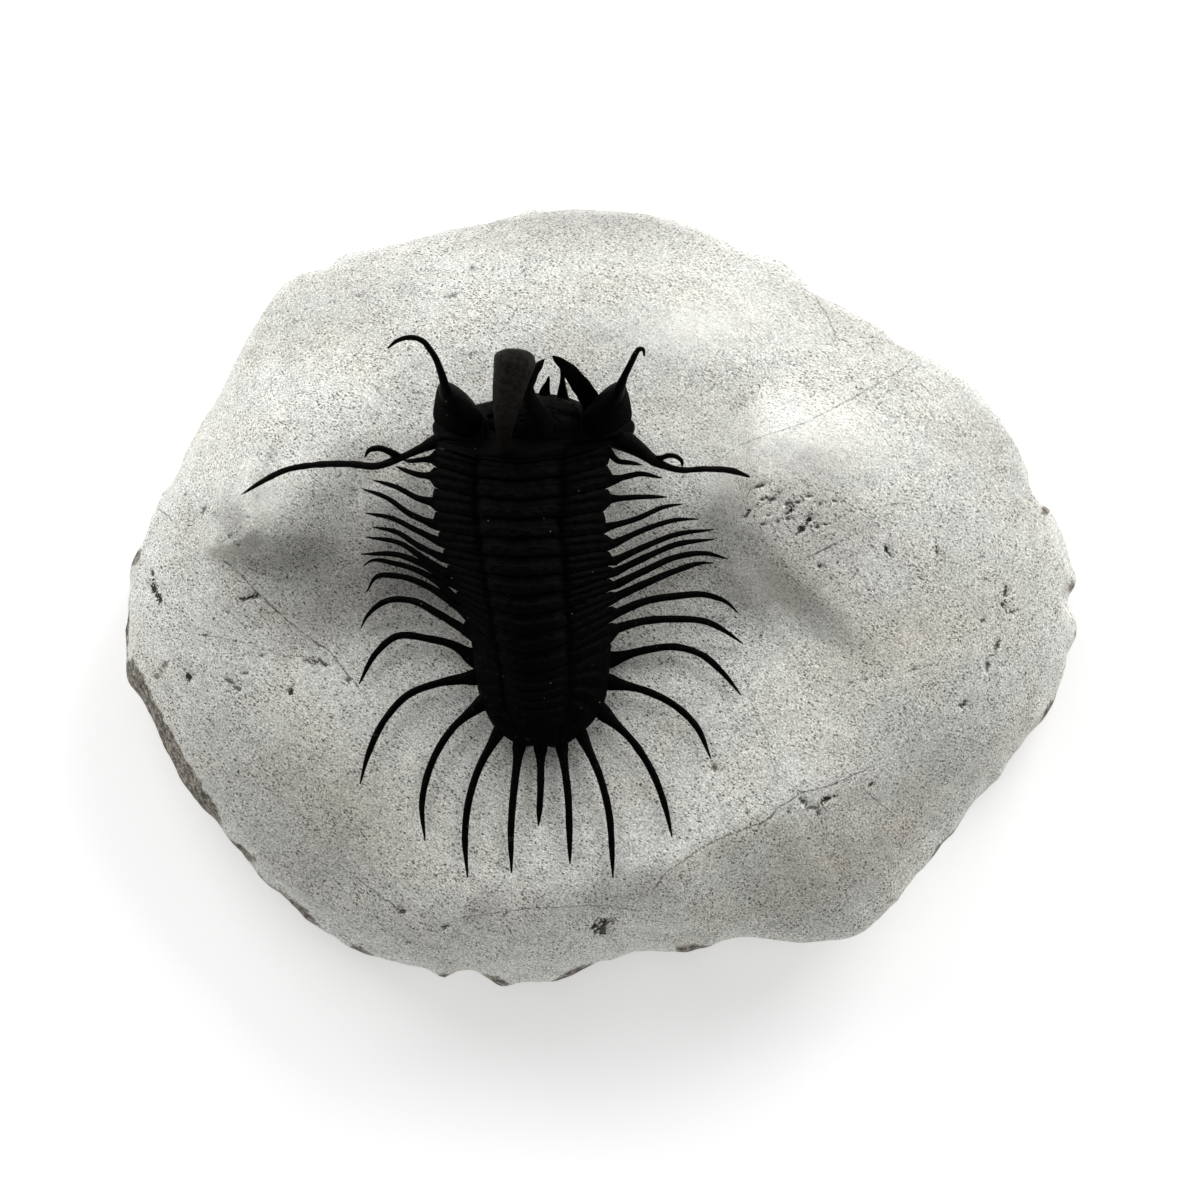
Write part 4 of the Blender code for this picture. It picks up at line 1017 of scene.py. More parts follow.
def limestone(settings):
    """Pale worked limestone: grain, dark specks, cracks, pits, ochre, rind, painted light and
    painted shade.
    """
    finish = Finish("worked_limestone", Roughness=0.88, Specular_IOR_Level=0.25)
    finish.colour = opaque(settings.colour)
    rind = finish.field("rind")
    streaks = finish.stretched((1.0, 2.6, 1.6), math.radians(-32.0))
    clouds = finish.noise(14 * MM, 2.0, 0.6)
    patches = finish.noise(4 * MM, 3.0, 0.6, streaks)
    grain = finish.noise(0.42 * MM, 3.0, 0.75, streaks)
    fine = finish.noise(0.22 * MM, 2.0, 0.7)
    mottle = finish.noise(1.1 * MM, 3.0, 0.65, streaks)
    blotches = finish.noise(2.2 * MM, 2.0, 0.6)
    broad = 0.42 + 0.16 * clouds + 0.34 * patches + 0.60 * mottle + 0.44 * blotches
    rough = 1.0 - 0.55 * finish.field("smooth")
    tone = broad + ((grain - 0.5) * 2.8 + (fine - 0.5) * 3.1) * rough
    warm = finish.noise(9 * MM, 2.0, 0.6).step(0.42, 0.72)
    finish.coat(warm * 0.6, settings.warm_colour)
    # Ochre: iron stains, partly painted shade
    finish.coat(finish.field("ochre_and_painted_shade") * 0.28, settings.ochre_and_shade_colour)
    # Painted light: pale patches brighten places as if lit more, besides a few pale chips
    painted_light_and_chips = finish.field("painted_light_and_chips") * (0.55 + 0.45 * patches)
    finish.coat(painted_light_and_chips * 0.85, settings.pale_and_painted_light_colour, 0.86)
    # Painted shade in the bowls and on the top, stronger here and fainter on the next line
    finish.coat(finish.field("painted_shade") * 0.60, settings.painted_shade_colour, 0.84)
    # Fainter painted shade
    finish.coat(finish.field("faint_painted_shade") * 0.40, settings.painted_shade_colour, 0.84)
    shade = finish.node("ShaderNodeCombineColor", {}, {0: tone, 1: tone, 2: tone})[0]
    finish.colour = finish.blend(1.0, finish.colour, shade, "MULTIPLY")

    # Dark specks in two sizes, thicker in some places than in others
    crowd = finish.noise(4.5 * MM, 2.0, 0.7)
    distance, chance = finish.dots(0.62 * MM, streaks)
    chosen = (chance + (crowd - 0.5) * 2.2).step(0.54, 0.66)
    small = (distance + fine * 0.5).step(0.66, 0.48) * chosen
    distance, chance = finish.dots(1.5 * MM, streaks)
    chosen = (chance + (crowd - 0.5) * 2.0).step(0.58, 0.70)
    large = (distance + fine * 0.6).step(0.50, 0.40) * chosen
    specks = (small * 0.92).most(large * 0.96) * rough ** 2.0
    finish.coat(specks, settings.speck_colour)
    flecks = finish.noise(0.34 * MM, 2.0, 0.6).step(0.60, 0.68)
    finish.coat(flecks * 0.45, settings.pale_and_painted_light_colour, 1.08)

    # Cracks: thin lines where the signed distance changes sign
    wander = (finish.noise(1.0 * MM, 3.0, 0.75) - 0.5) * 6.0
    breadth = finish.field("crack_width")
    beside = abs(finish.field("crack_side") + wander)
    line = (beside / breadth.most(0.05)).step(1.5, 0.3) * finish.field("crack_near")
    broken = mottle.step(0.36, 0.50)
    line = line * (0.10 + 0.90 * broken) * (breadth * 1.4).least(1.0)
    finish.coat(line * 0.8, settings.crack_colour)

    away = (finish.field("pit_along") ** 2.0 + finish.field("pit_across") ** 2.0) ** 0.5
    torn = finish.noise(0.30 * MM, 3.0, 0.7)
    ragged = (torn - 0.5) * 3.6 + (mottle - 0.5) * 2.4
    pit = (away + ragged).step(0.95, 0.65) * finish.field("pit_near") * finish.field("pit_dark")
    finish.coat(pit * 0.97, settings.pit_colour)

    # Weathered rind on the flank, broken up by noise
    lumps = finish.noise(2.2 * MM, 4.0, 0.65)
    crust = (rind + (lumps - 0.5) * 1.5 + (grain - 0.5) * 0.8).step(0.46, 0.62)
    spots = (finish.noise(0.8 * MM, 3.0, 0.75) * 0.6 + grain * 0.4).step(0.44, 0.60)
    brown = finish.blend(spots, opaque(settings.rind_colour, 0.22),
                         opaque(settings.rind_colour, 2.9))
    finish.colour = finish.blend(crust * 0.92, finish.colour, brown)
    finish.feed("Base Color", finish.colour)
    finish.feed("Roughness", 0.80 + 0.16 * grain)
    finish.bump(grain * 0.5 + fine * 0.25 + lumps * rind * 2.4, 0.14 * MM)
    return finish.material


def black_calcite(settings):
    """Black calcite shell: soft gloss, a brown tint with painted light where it stands highest,
    fine grain, hairlines of rock dust and a few painted glints."""
    finish = Finish("black_calcite", Specular_IOR_Level=0.024)
    brown = finish.field("brown")
    clouds = finish.noise(2.4 * MM, 3.0, 0.65)
    grain = finish.noise(0.22 * MM, 3.0, 0.7)
    creases = finish.noise(0.7 * MM, 3.0, 0.65)
    # Brown tint, partly painted light on the high parts
    share = (brown * 0.9 + clouds.step(0.45, 0.75) * 0.06) * (2.6 * creases - 0.5)
    finish.colour = opaque(settings.colour)
    finish.coat(share, settings.bloom_and_painted_light_colour)
    # Painted glints: tiny bright dots standing in for highlights on the shell
    distance, chance = finish.dots(0.9 * MM)
    painted_glint = distance.step(0.11, 0.05) * chance.step(0.90, 0.94)
    finish.coat(painted_glint * 0.55, settings.painted_glint_colour)
    dust = finish.noise(0.7 * MM, 3.0, 0.75).step(0.60, 0.78) * finish.field("low")
    finish.coat(dust * 0.35, settings.dust_colour)
    finish.feed("Base Color", finish.colour)
    finish.feed("Roughness", 0.34 + 0.26 * clouds + 0.12 * grain)
    finish.bump(grain * 0.6 + creases * 1.3, 0.12 * MM)
    return finish.material


def stone_rings(settings, sheet):
    """Grid of the stone's surface from the middle of its top, out and down.

    A ring is at a share of the way to the top's edge for the top, then along
    a smooth profile for the flank, and inwards again for the base. The top
    rises under the body, where rock fills the shell.
    """
    angles = sector_angles()
    direction = np.stack((np.cos(angles), np.sin(angles)), axis=1)
    degrees = np.degrees(angles)
    edged = ramp(degrees, *TAIL_SIDE[:2]) * (1.0 - ramp(degrees, *TAIL_SIDE[2:]))
    bevel = bell(degrees + 50.0, 13.0)
    widest = outline_radius(angles)
    jagged = mix(1.0, 0.3, ramp(np.sin(angles), 0.5, 0.8)) * settings.edge_relief
    circle = MEAN_RADIUS * np.pad(direction, ((0, 0), (0, 1)))
    widest = widest + jagged * rough_noise(circle, *EDGE_CHIPS)
    span = np.radians(np.linspace(-CALM_SPAN, CALM_SPAN, CALM_SAMPLES))
    weights = np.hanning(CALM_SAMPLES + 2)[1:-1]
    calm = outline_radius(angles[:, None] + span) @ weights / weights.sum()
    inset = TOP_INSET + TAIL_INSET * edged + BEVEL_INSET * bevel
    top = np.minimum(mix(calm, widest, edged) - inset, widest - LEAST_INSET)
    rim = mix(RIM_HEIGHT, TAIL_RIM_HEIGHT, edged)
    shoulder = mix(HEAD_SHOULDER, TAIL_SHOULDER, edged)
    shares = np.linspace(0.0, 1.0, TOP_RINGS + 1)[1:, None] ** 0.9
    plan = direction * (top * shares)[..., None]
    height = ground(plan[..., 0], plan[..., 1])
    drop = np.clip((shares - shoulder) / (1.0 - shoulder), 0.0, 1.0) ** 2
    height = mix(height, rim, drop)
    rock, inside = sheet.under(plan[..., 0], plan[..., 1])
    height = mix(height, rock, inside * (rock > height))
    surface = np.concatenate((plan, height[..., None]), axis=-1)
    waves = rough_noise(surface, *TOP_WAVES) * settings.wave_height
    surface[..., 2] += waves * (1.0 - inside)

    profile = smooth(FLANK, FLANK_RINGS + 1)[1:]
    reach = mix(top, widest, profile[:, :1])
    undercut = BASE_INSET * np.clip(1.0 - profile[:, 1:] / FLANK[3][1], 0.0, 1.0)
    low = np.minimum(reach, widest - undercut)
    flank = direction * low[..., None]
    flank = np.concatenate((flank, (rim * profile[:, 1:])[..., None]), axis=-1)
    fade = np.sin(math.pi * np.linspace(0.0, 1.0, FLANK_RINGS)) ** 0.5
    fade = fade * mix(0.2, 1.0, ramp(np.abs(profile[:, 1] - FLANK[2][1]), 0.03, 0.25))
    lumps = rough_noise(flank, *FLANK_LUMPS) * settings.flank_relief
    ledges = np.abs(value_noise(flank * (1.0, 1.0, 2.2), *FLANK_LEDGES)) * settings.flank_relief
    flank[..., :2] += direction * ((lumps - 0.8 * ledges) * fade[:, None])[..., None]

    last = flank[-1].copy()
    last[:, 2] = 0.0
    base = last * np.array(BASE_RINGS)[:, None, None]
    rings = np.concatenate((surface, flank, base), axis=0)
    rings[..., 2] = np.maximum(rings[..., 2], 0.0)
    middle = np.array((0.0, 0.0, float(sheet.under(np.zeros(1), np.zeros(1))[0][0])))
    return rings, middle


def in_ellipse(pixels, x, y, half_length, half_width, degrees):
    """Offsets from an ellipse's middle in the picture, along its length and
    across it, as shares of its half length and half width."""
    turn = math.radians(degrees)
    right, down = pixels[..., 0] - x, pixels[..., 1] - y
    along = right * math.cos(turn) - down * math.sin(turn)
    across = right * math.sin(turn) + down * math.cos(turn)
    return along / half_length, across / half_width


def ellipse_share(pixels, *ellipse):
    """1 in the middle of an ellipse in the picture, 0.5 on its line, falling to 0."""
    along, across = in_ellipse(pixels, *ellipse)
    return np.exp(-LOG_OF_TWO * (along**2 + across**2))


def pit_fields(pixels):
    """Where each point lies in its nearest pit, as shares of the pit's half
    length and half width, with how near that pit is and how dark.

    The shares change evenly over the surface, so that a pit much smaller than
    a face of the mesh still shows sharp."""
    along = across = np.full(pixels.shape[:-1], FAR_SHARE)
    nearest = np.full(pixels.shape[:-1], FAR_PIXELS)
    dark = np.zeros(pixels.shape[:-1])
    for *ellipse, strength in PITS:
        u, v = in_ellipse(pixels, *ellipse)
        beyond = np.maximum(np.abs((u, v)) - 1.0, 0.0)
        distance = np.hypot(beyond[0] * ellipse[2], beyond[1] * ellipse[3])
        closer = distance < nearest
        nearest = np.where(closer, distance, nearest)
        along = np.where(closer, u, along)
        across = np.where(closer, v, across)
        dark = np.where(closer, strength, dark)
    return along, across, 1.0 - ramp(nearest, 4.5, 8.0), dark


def crack_fields(pixels):
    """Signed distance to the nearest crack in pixels, how near it is, and the
    width of its line. The sign tells the two sides of the crack apart."""
    side = nearest = np.full(pixels.shape[:-1], FAR_PIXELS)
    width = np.full(pixels.shape[:-1], 0.5)
    for breadth, points in CRACKS:
        points = np.array(points, dtype=float)
        for start, end in zip(points[:-1], points[1:]):
            run = end - start
            length = np.hypot(*run)
            run = run / length
            offset = pixels - start
            along = offset @ run
            across = offset[..., 0] * run[1] - offset[..., 1] * run[0]
            beyond = np.maximum(np.maximum(-along, along - length), 0.0)
            distance = np.hypot(beyond, across)
            closer = distance < nearest
            nearest = np.where(closer, distance, nearest)
            side = np.where(closer, np.where(across < 0.0, -distance, distance), side)
            width = np.where(closer, breadth, width)
    return side, 1.0 - ramp(nearest, 6.0, 9.0), width


def rind_share(points):
    """How much dark natural rind covers the stone: all of its base and the foot
    of its flank, up to a height that wanders, and nearly the whole flank at the
    left of its tail side."""
    height = points[..., 2]
    bearing = np.arctan2(points[..., 1], points[..., 0])
    degrees = np.degrees(bearing)
    left = ramp(degrees, -175.0, -169.0) * (1.0 - ramp(degrees, -153.0, -147.0))
    wander = (1.0 + 0.35 * np.sin(2.0 * bearing + 0.6) + 0.28 * np.sin(5.0 * bearing + 2.1)
              + 0.20 * np.sin(9.0 * bearing + 4.0))
    foot = 1.0 - np.clip(height / (9.0 * MM * wander), 0.0, 1.0)
    return np.clip(left * (1.0 - ramp(height, 12.0 * MM, 16.0 * MM)) + foot, 0.0, 1.0)


def length_setting(name, description, default):
    """A length that a user may change."""
    return bpy.props.FloatProperty(
        name=name, description=description, default=default, unit="LENGTH")


def colour_setting(name, description, default):
    """A colour that a user may change."""
    return bpy.props.FloatVectorProperty(
        name=name, description=description, default=default, subtype="COLOR")


class StoneSettings(bpy.types.PropertyGroup):
    """Sizes and colours of the limestone."""

    wave_height: length_setting(
        "Wave height", "Height of the gentle waves of the worked top", 0.16 * MM)
    flank_relief: length_setting(
        "Flank relief", "How far the broken flank wanders in and out", 0.7 * MM)
    edge_relief: length_setting(
        "Edge relief", "How far the chipped edge wanders in and out", 0.30 * MM)
    pit_depth: length_setting("Pit depth", "Depth of the deepest pits", 0.5 * MM)
    colour: colour_setting("Colour", "Colour of the fresh limestone", (0.592, 0.594, 0.560))
    warm_colour: colour_setting(
        "Warm colour", "Colour of the warmer clouds in it", (0.60, 0.578, 0.52))
    # Ochre colour, for the stains and for some painted shade
    ochre_and_shade_colour: colour_setting("Ochre", "Colour of the iron stains", (0.40, 0.33, 0.20))
    # Pale colour, for real flecks and for painted light
    pale_and_painted_light_colour: colour_setting("Pale colour", "Colour of chips and bruises", (0.78, 0.77, 0.73))
    # Colour of the painted shade in the hollows and on the top
    painted_shade_colour: colour_setting(
        "Grey colour", "Colour of the worked hollows", (0.25, 0.24, 0.225))
    speck_colour: colour_setting(
        "Speck colour", "Colour of the dark specks", (0.036, 0.034, 0.031))
    crack_colour: colour_setting("Crack colour", "Colour inside the cracks", (0.045, 0.04, 0.034))
    pit_colour: colour_setting("Pit colour", "Colour inside the pits", (0.024, 0.021, 0.018))
    rind_colour: colour_setting(
        "Rind colour", "Colour of the weathered rind", (0.14, 0.125, 0.10))


class ShellSettings(bpy.types.PropertyGroup):
    """Sizes and colours of the fossil."""

    tubercle_height: length_setting("Tubercle height", "Height of the small tubercles", 0.13 * MM)
    lens_pitch: length_setting(
        "Lens pitch", "Distance between neighbouring lenses of the eyes", 0.27 * MM)
    rib_height: length_setting("Rib height", "Height of the ribs of the tail shield", 0.30 * MM)
    colour: colour_setting("Colour", "Colour of the black shell", (0.0005, 0.00047, 0.00044))
    # Brown-grey tint, partly painted light on the highest parts
    bloom_and_painted_light_colour: colour_setting(
        "Bloom colour", "Brown-grey colour of the highest parts", (0.021, 0.0178, 0.0155))
    # Colour of the painted glints
    painted_glint_colour: colour_setting(
        "Spark colour", "Colour of the tiny bright crystals", (0.55, 0.54, 0.50))
    dust_colour: colour_setting(
        "Dust colour", "Colour of the rock dust in the furrows", (0.10, 0.095, 0.08))


class StageSettings(bpy.types.PropertyGroup):
    """Light and floor."""

    key_power: bpy.props.FloatProperty(
        name="Key power", description="Power of each large soft light beyond the head",
        default=5.35, unit="POWER")
    sky_strength: bpy.props.FloatProperty(
        name="Sky strength", description="Strength of the even light from all round", default=0.37)
    floor_glow: bpy.props.FloatProperty(
        name="Floor glow", description="Light that the floor gives off by itself", default=0.38)
    floor_colour: colour_setting("Floor colour", "Colour of the plain floor", (0.93, 0.93, 0.93))


def area_light(name, power, bearing):
    """Square soft light at a bearing from the head's direction, facing the stone."""
    data = bpy.data.lights.new(name, "AREA")
    data.energy = power
    data.size = KEY_SIZE
    lamp = placed(name, data)
    reach = KEY_DISTANCE * math.cos(KEY_ELEVATION)
    height = KEY_DISTANCE * math.sin(KEY_ELEVATION)
    lamp.location = (reach * math.sin(bearing), reach * math.cos(bearing), height)
    lamp.rotation_euler = (math.pi / 2 - KEY_ELEVATION, 0.0, math.pi - bearing)


class FOSSIL_OT_stage(bpy.types.Operator):
    """Adds the camera at the angle of the picture, the soft lights and the floor."""

    bl_idname = "fossil.stage"
    bl_label = "Stage"

    def execute(self, context):
        scene = context.scene
        settings = scene.fossil_stage
        camera = placed("camera", bpy.data.cameras.new("camera"))
        camera.data.sensor_width = SENSOR
        camera.data.lens = SENSOR * SIGHT_DISTANCE / (PICTURE_SIZE * PIXEL)
        camera.data.clip_start = 0.01
        camera.location = SIGHT_EYE
        camera.rotation_euler = (math.pi / 2 - SIGHT_ELEVATION, 0.0, 0.0)
        scene.camera = camera
        scene.view_settings.view_transform = "Standard"

        world = bpy.data.worlds.new("studio")
        world.use_nodes = True
        sky = world.node_tree.nodes["Background"]
        sky.inputs["Color"].default_value = WHITE
        sky.inputs["Strength"].default_value = settings.sky_strength
        scene.world = world
        for name, bearing, power in KEYS:
            area_light(name, settings.key_power * power, bearing)

        mesh = bpy.data.meshes.new("floor")
        corners = ((-FLOOR_REACH, -FLOOR_REACH), (FLOOR_REACH, -FLOOR_REACH),
                   (FLOOR_REACH, FLOOR_REACH), (-FLOOR_REACH, FLOOR_REACH))
        mesh.from_pydata([(x, y, BASE_HEIGHT) for x, y in corners], [], [(0, 1, 2, 3)])
        finish = Finish("floor", Roughness=0.9, Specular_IOR_Level=0.1,
                        Base_Color=opaque(settings.floor_colour), Emission_Color=WHITE,
                        Emission_Strength=settings.floor_glow)
        mesh.materials.append(finish.material)
        placed("floor", mesh)
        return {"FINISHED"}


class FOSSIL_OT_stone(bpy.types.Operator):
    """Adds the limestone with its worked top, two rests, rough flank and flat base."""

    bl_idname = "fossil.stone"
    bl_label = "Limestone"

    def execute(self, context):
        settings = context.scene.fossil_stone
        rings, middle = stone_rings(settings, BodySheet())
        pixels = picture_of(rings)
        top = ramp(rings[..., 2], 8.0 * MM, 16.0 * MM)
        pit = np.max([ellipse_share(pixels, *row[:5]) * row[5] for row in PITS], axis=0)
        rings[:TOP_RINGS, :, 2] -= settings.pit_depth * ramp(pit, 0.15, 0.8)[:TOP_RINGS]
        tints = {}
        for kind, patches in PATCHES.items():
            tints[kind] = np.max([ellipse_share(pixels, *patch) for patch in patches], axis=0)
            if kind != "rind":
                tints[kind] = tints[kind] * top
        tints["rind"] = np.maximum(tints["rind"], rind_share(rings))
        side, near, width = crack_fields(pixels)
        pit_along, pit_across, pit_near, pit_dark = pit_fields(pixels)
        fields = {"pit_along": pit_along, "pit_across": pit_across, "pit_near": pit_near * top,
                  "pit_dark": pit_dark, "crack_side": side, "crack_near": near * top,
                  "crack_width": width, **tints}
        poles = {name: np.append(values.ravel(), (0.0, 0.0)) for name, values in fields.items()}
        surface = outward(*wrap(rings, middle, np.zeros(3)))
        add_piece("worked_limestone", surface, limestone(settings), "limestone",
                  ("stone_matrix",), **poles)
        return {"FINISHED"}


def add_shell(name, parts, node):
    """Fossil piece from closed surfaces, each with how brown it looks, the brown partly painted
    light.
    """
    settings = bpy.context.scene.fossil_shell
    material = bpy.data.materials.get("black_calcite") or black_calcite(settings)
    surfaces = [outward(*part[0]) for part in parts]
    brown = np.concatenate([np.full(len(part[0][0]), part[1]) for part in parts])
    surface = joined(surfaces)
    height = surface[0][:, 2]
    low = 1.0 - ramp(height, 26.0 * MM, 33.0 * MM)
    # Painted light: the brown tint grows on the highest parts, as if they catch more light
    brown = brown * mix(0.35, 1.0, ramp(height, 41.0 * MM, 51.0 * MM))
    add_piece(name, surface, material, "fossil_shell", (node,), brown=brown, low=low)


def band_grid(sheet, stations, across, relief):
    """Loops of a closed band: its relief-carrying top, then its plain underside.

    The loops lie across the body, one for each place, and run along it on top
    and back again underneath.
    """
    top = sheet.at(stations[None, :], across[:, None])
    normal = grid_normals(top)
    normal[normal[..., 2] < 0.0] *= -1.0
    top = top + normal * relief[..., None]
    under = sheet.at(stations[None, ::-4], across[:, None], SHELL, SHELL_TUCK)
    return np.concatenate((top, under), axis=1)


def thorax_relief(share, across):
    """Height of a segment's relief by share along it and place across it.

    The axis has a low front half ring, a furrow and a raised ring; the sides
    have a front and a rear band parted by an oblique furrow.
    """
    away = np.abs(across)
    in_axis = 1.0 - ramp(away, AXIS_SHARE - 0.05, AXIS_SHARE + 0.02)
    ring = ramp(share, 0.16, 0.46) * (1.0 - ramp(share, 0.80, 1.0) ** 2)
    furrow_place = 0.38 + 0.16 * (away - AXIS_SHARE) / (1.0 - AXIS_SHARE)
    furrow = bell(share - furrow_place, 0.085)
    bands = np.sin(math.pi * np.clip(share, 0.02, 0.98)) ** 0.5
    sides = bands * (0.95 - 0.80 * furrow * (1.0 - ramp(away, 0.86, 0.99)))
    axial_furrow = bell(away - AXIS_SHARE, 0.028)
    nodes = bell(away - 0.36, 0.05) * bell(share - 0.62, 0.16)
    height = mix(sides, ring, in_axis) + 0.35 * nodes - 0.75 * axial_furrow
    return RIB_RISE * height


def webbed(count, foot, shaft, slimming, foot_share):
    """Half widths along a spine: a foot that narrows in a hollow curve, a shaft
    that slims evenly, and a last quarter that draws in to a fine tip."""
    along = np.linspace(0.0, 1.0, count)
    tip = 1.0 - 0.85 * np.clip((along - 0.72) / 0.30, 0.0, 1.0) ** 1.6
    shaft_part = shaft * mix(1.0, slimming, along) * tip
    return shaft_part + (foot - shaft) * np.clip(1.0 - along / foot_share, 0.0, 1.0) ** 2.2


class FOSSIL_OT_thorax(bpy.types.Operator):
    """Adds the eleven body segments, each drawn out into a spine at both sides."""

    bl_idname = "fossil.thorax"
    bl_label = "Body segments"

    def execute(self, context):
        settings = context.scene.fossil_shell
        sheet = BodySheet()
        swing = EDGE_CROWDING * math.pi / 2
        across = np.sin(np.linspace(-swing, swing, SEGMENT_PLACES)) / math.sin(swing)
        across = across * SEGMENT_REACH
        share = np.linspace(0.0, 1.0, SEGMENT_SAMPLES)
        for number in range(1, SEGMENTS + 1):
            joint = number - 1
            stations = joint + mix(*SEGMENT_SPAN, share)
            relief = thorax_relief(share[None, :], across[:, None])
            rings = band_grid(sheet, stations, across, relief)
            top = rings[:, :len(share)]
            centres = self.tubercles(sheet, joint)
            raised = knobs(top, centres, SEGMENT_TUBERCLE, settings.tubercle_height)
            rough = 0.13 * MM * rough_noise(top, *SEGMENT_CREASES)
            top[..., 2] += raised + rough
            foot_height = mix(rings[0, SEGMENT_SAMPLES // 2, 2], rings[0, -3, 2], 0.5)
            tips = []
            for table, end in ((LEFT_SPINES, 0), (RIGHT_SPINES, -1)):
                course = spine_course(table[joint], foot_height, 0.9 * MM, 0.75 * MM, 48)[1:]
                shaft = mix(0.46, 0.60, ramp(joint, 3.5, 8.0)) * MM
                wide = webbed(len(course), SEGMENT_FOOT, shaft, 0.58, 0.22)
                wide = wide * (1.0 + 0.07 * value_noise(course, *SEGMENT_SPINE_WAVER))
                tips.append(self.spine(course, wide, rings[end]))
            body = np.concatenate((tips[0][::-1], rings, tips[1]), axis=0)
            add_shell("body_segment_%02d" % number, [(capped(body), SHELL_BROWN)],
                      "thorax_segment_%02d" % number)
        return {"FINISHED"}

    @staticmethod
    def tubercles(sheet, joint):
        """Places of the tubercles of one segment: a row on the ring and one on
        each rear band, shifted a little from segment to segment."""
        shift = 0.02 * math.sin(2.3 * joint)
        half_row = np.array((0.07, 0.20, 0.34, 0.62, 0.74, 0.86))
        row = np.concatenate((-half_row[::-1], half_row))
        place = np.where(np.abs(row) < AXIS_SHARE, 0.66, 0.78)
        points = sheet.at(joint + place, row + shift)
        points[:, 2] += 0.9 * RIB_RISE
        return points

    @staticmethod
    def spine(course, wide, loop):
        """Rings of a spine: ellipses round its course, whose points start at the
        same angles as those of the band's own end loop."""
        heading = unit(np.gradient(course, axis=0))
        upward = unit(np.array((0.0, 0.0, 1.0)) - heading * heading[:, 2:])
        sideways = np.cross(upward, heading)
        bearing = unit(loop - loop.mean(axis=0))
        angle = np.arctan2(bearing @ upward[0], bearing @ sideways[0])[None, :, None]
        ring = np.cos(angle) * sideways[:, None] + SPINE_DEPTH * np.sin(angle) * upward[:, None]
        return course[:, None] + wide[:, None, None] * ring


class FOSSIL_OT_tail(bpy.types.Operator):
    """Adds the tail shield with its ribs and webbed marginal spines."""

    bl_idname = "fossil.tail"
    bl_label = "Tail shield"

    def execute(self, context):
        settings = context.scene.fossil_shell
        sheet = BodySheet()
        across = np.linspace(-0.98, 0.98, 161)
        stations = np.linspace(TAIL_FRONT, TAIL_REAR, 110)
        station, place = np.meshgrid(stations, across, indexing="ij")
        away = np.abs(place)
        # Ribs run back from the axis to the feet of the spines
        at_edge = np.interp(station, RIBS_AT_EDGE, RIB_TURNS)
        at_axis = np.interp(station, RIBS_AT_AXIS, RIB_TURNS)
        reach = np.clip((away - AXIS_SHARE) / (1.0 - AXIS_SHARE), 0.0, 1.0)
        phase = mix(at_axis, at_edge, reach)
        ribs = 0.5 + 0.5 * np.cos(TURN * phase)
        rings = 0.5 + 0.5 * np.cos(TURN * (station - FIRST_RING) / RING_PITCH)
        in_axis = 1.0 - ramp(away, AXIS_SHARE - 0.06, AXIS_SHARE + 0.02)
        in_axis = in_axis * (1.0 - ramp(station, 14.8, 15.4))
        furrow = bell(away - AXIS_SHARE, 0.035) * (1.0 - ramp(station, 14.6, 15.2))
        fade = 1.0 - ramp(away, 0.90, 1.0)
        relief = settings.rib_height * (mix(ribs * fade, rings, in_axis) - 0.9 * furrow)
        top = sheet.at(station, place)
        rng = np.random.default_rng(8)
        picks = top[rng.integers(4, 100, 150), rng.integers(8, 152, 150)]
        top[..., 2] += relief + knobs(top, picks, TAIL_TUBERCLE, settings.tubercle_height * 0.8)
        under = sheet.at(station[:, ::-3], place[:, ::-3], SHELL, SHELL_TUCK)
        loops = np.concatenate((top, under), axis=1)
        parts = [(capped(loops), SHELL_BROWN)]
        for number, pixels in enumerate(TAIL_SPINES):
            course = spine_course(pixels, TAIL_FOOT_HEIGHT, 0.3 * MM, 0.7 * MM, 72)
            back = unit(course[0] - course[1])
            course = np.vstack((course[0] + back * 1.6 * MM, course[0] + back * 0.8 * MM, course))
            outer = abs(number - len(TAIL_SPINES) // 2) > 2
            foot = TAIL_OUTER_FOOT if outer else TAIL_INNER_FOOT
            wide = webbed(len(course), foot, 0.55 * MM, 0.72, 0.24)
            wide = wide * (1.0 + 0.08 * value_noise(course, *TAIL_SPINE_WAVER))
            thick = webbed(len(course), 0.60 * MM, 0.48 * MM, 0.72, 0.3)
            rings = tube(course, wide, thick, 20)
            parts.append((wrap(rings, course[0], course[-1]), TAIL_SPINE_BROWN))
        add_shell("tail_shield", parts, "pygidium")
        return {"FINISHED"}


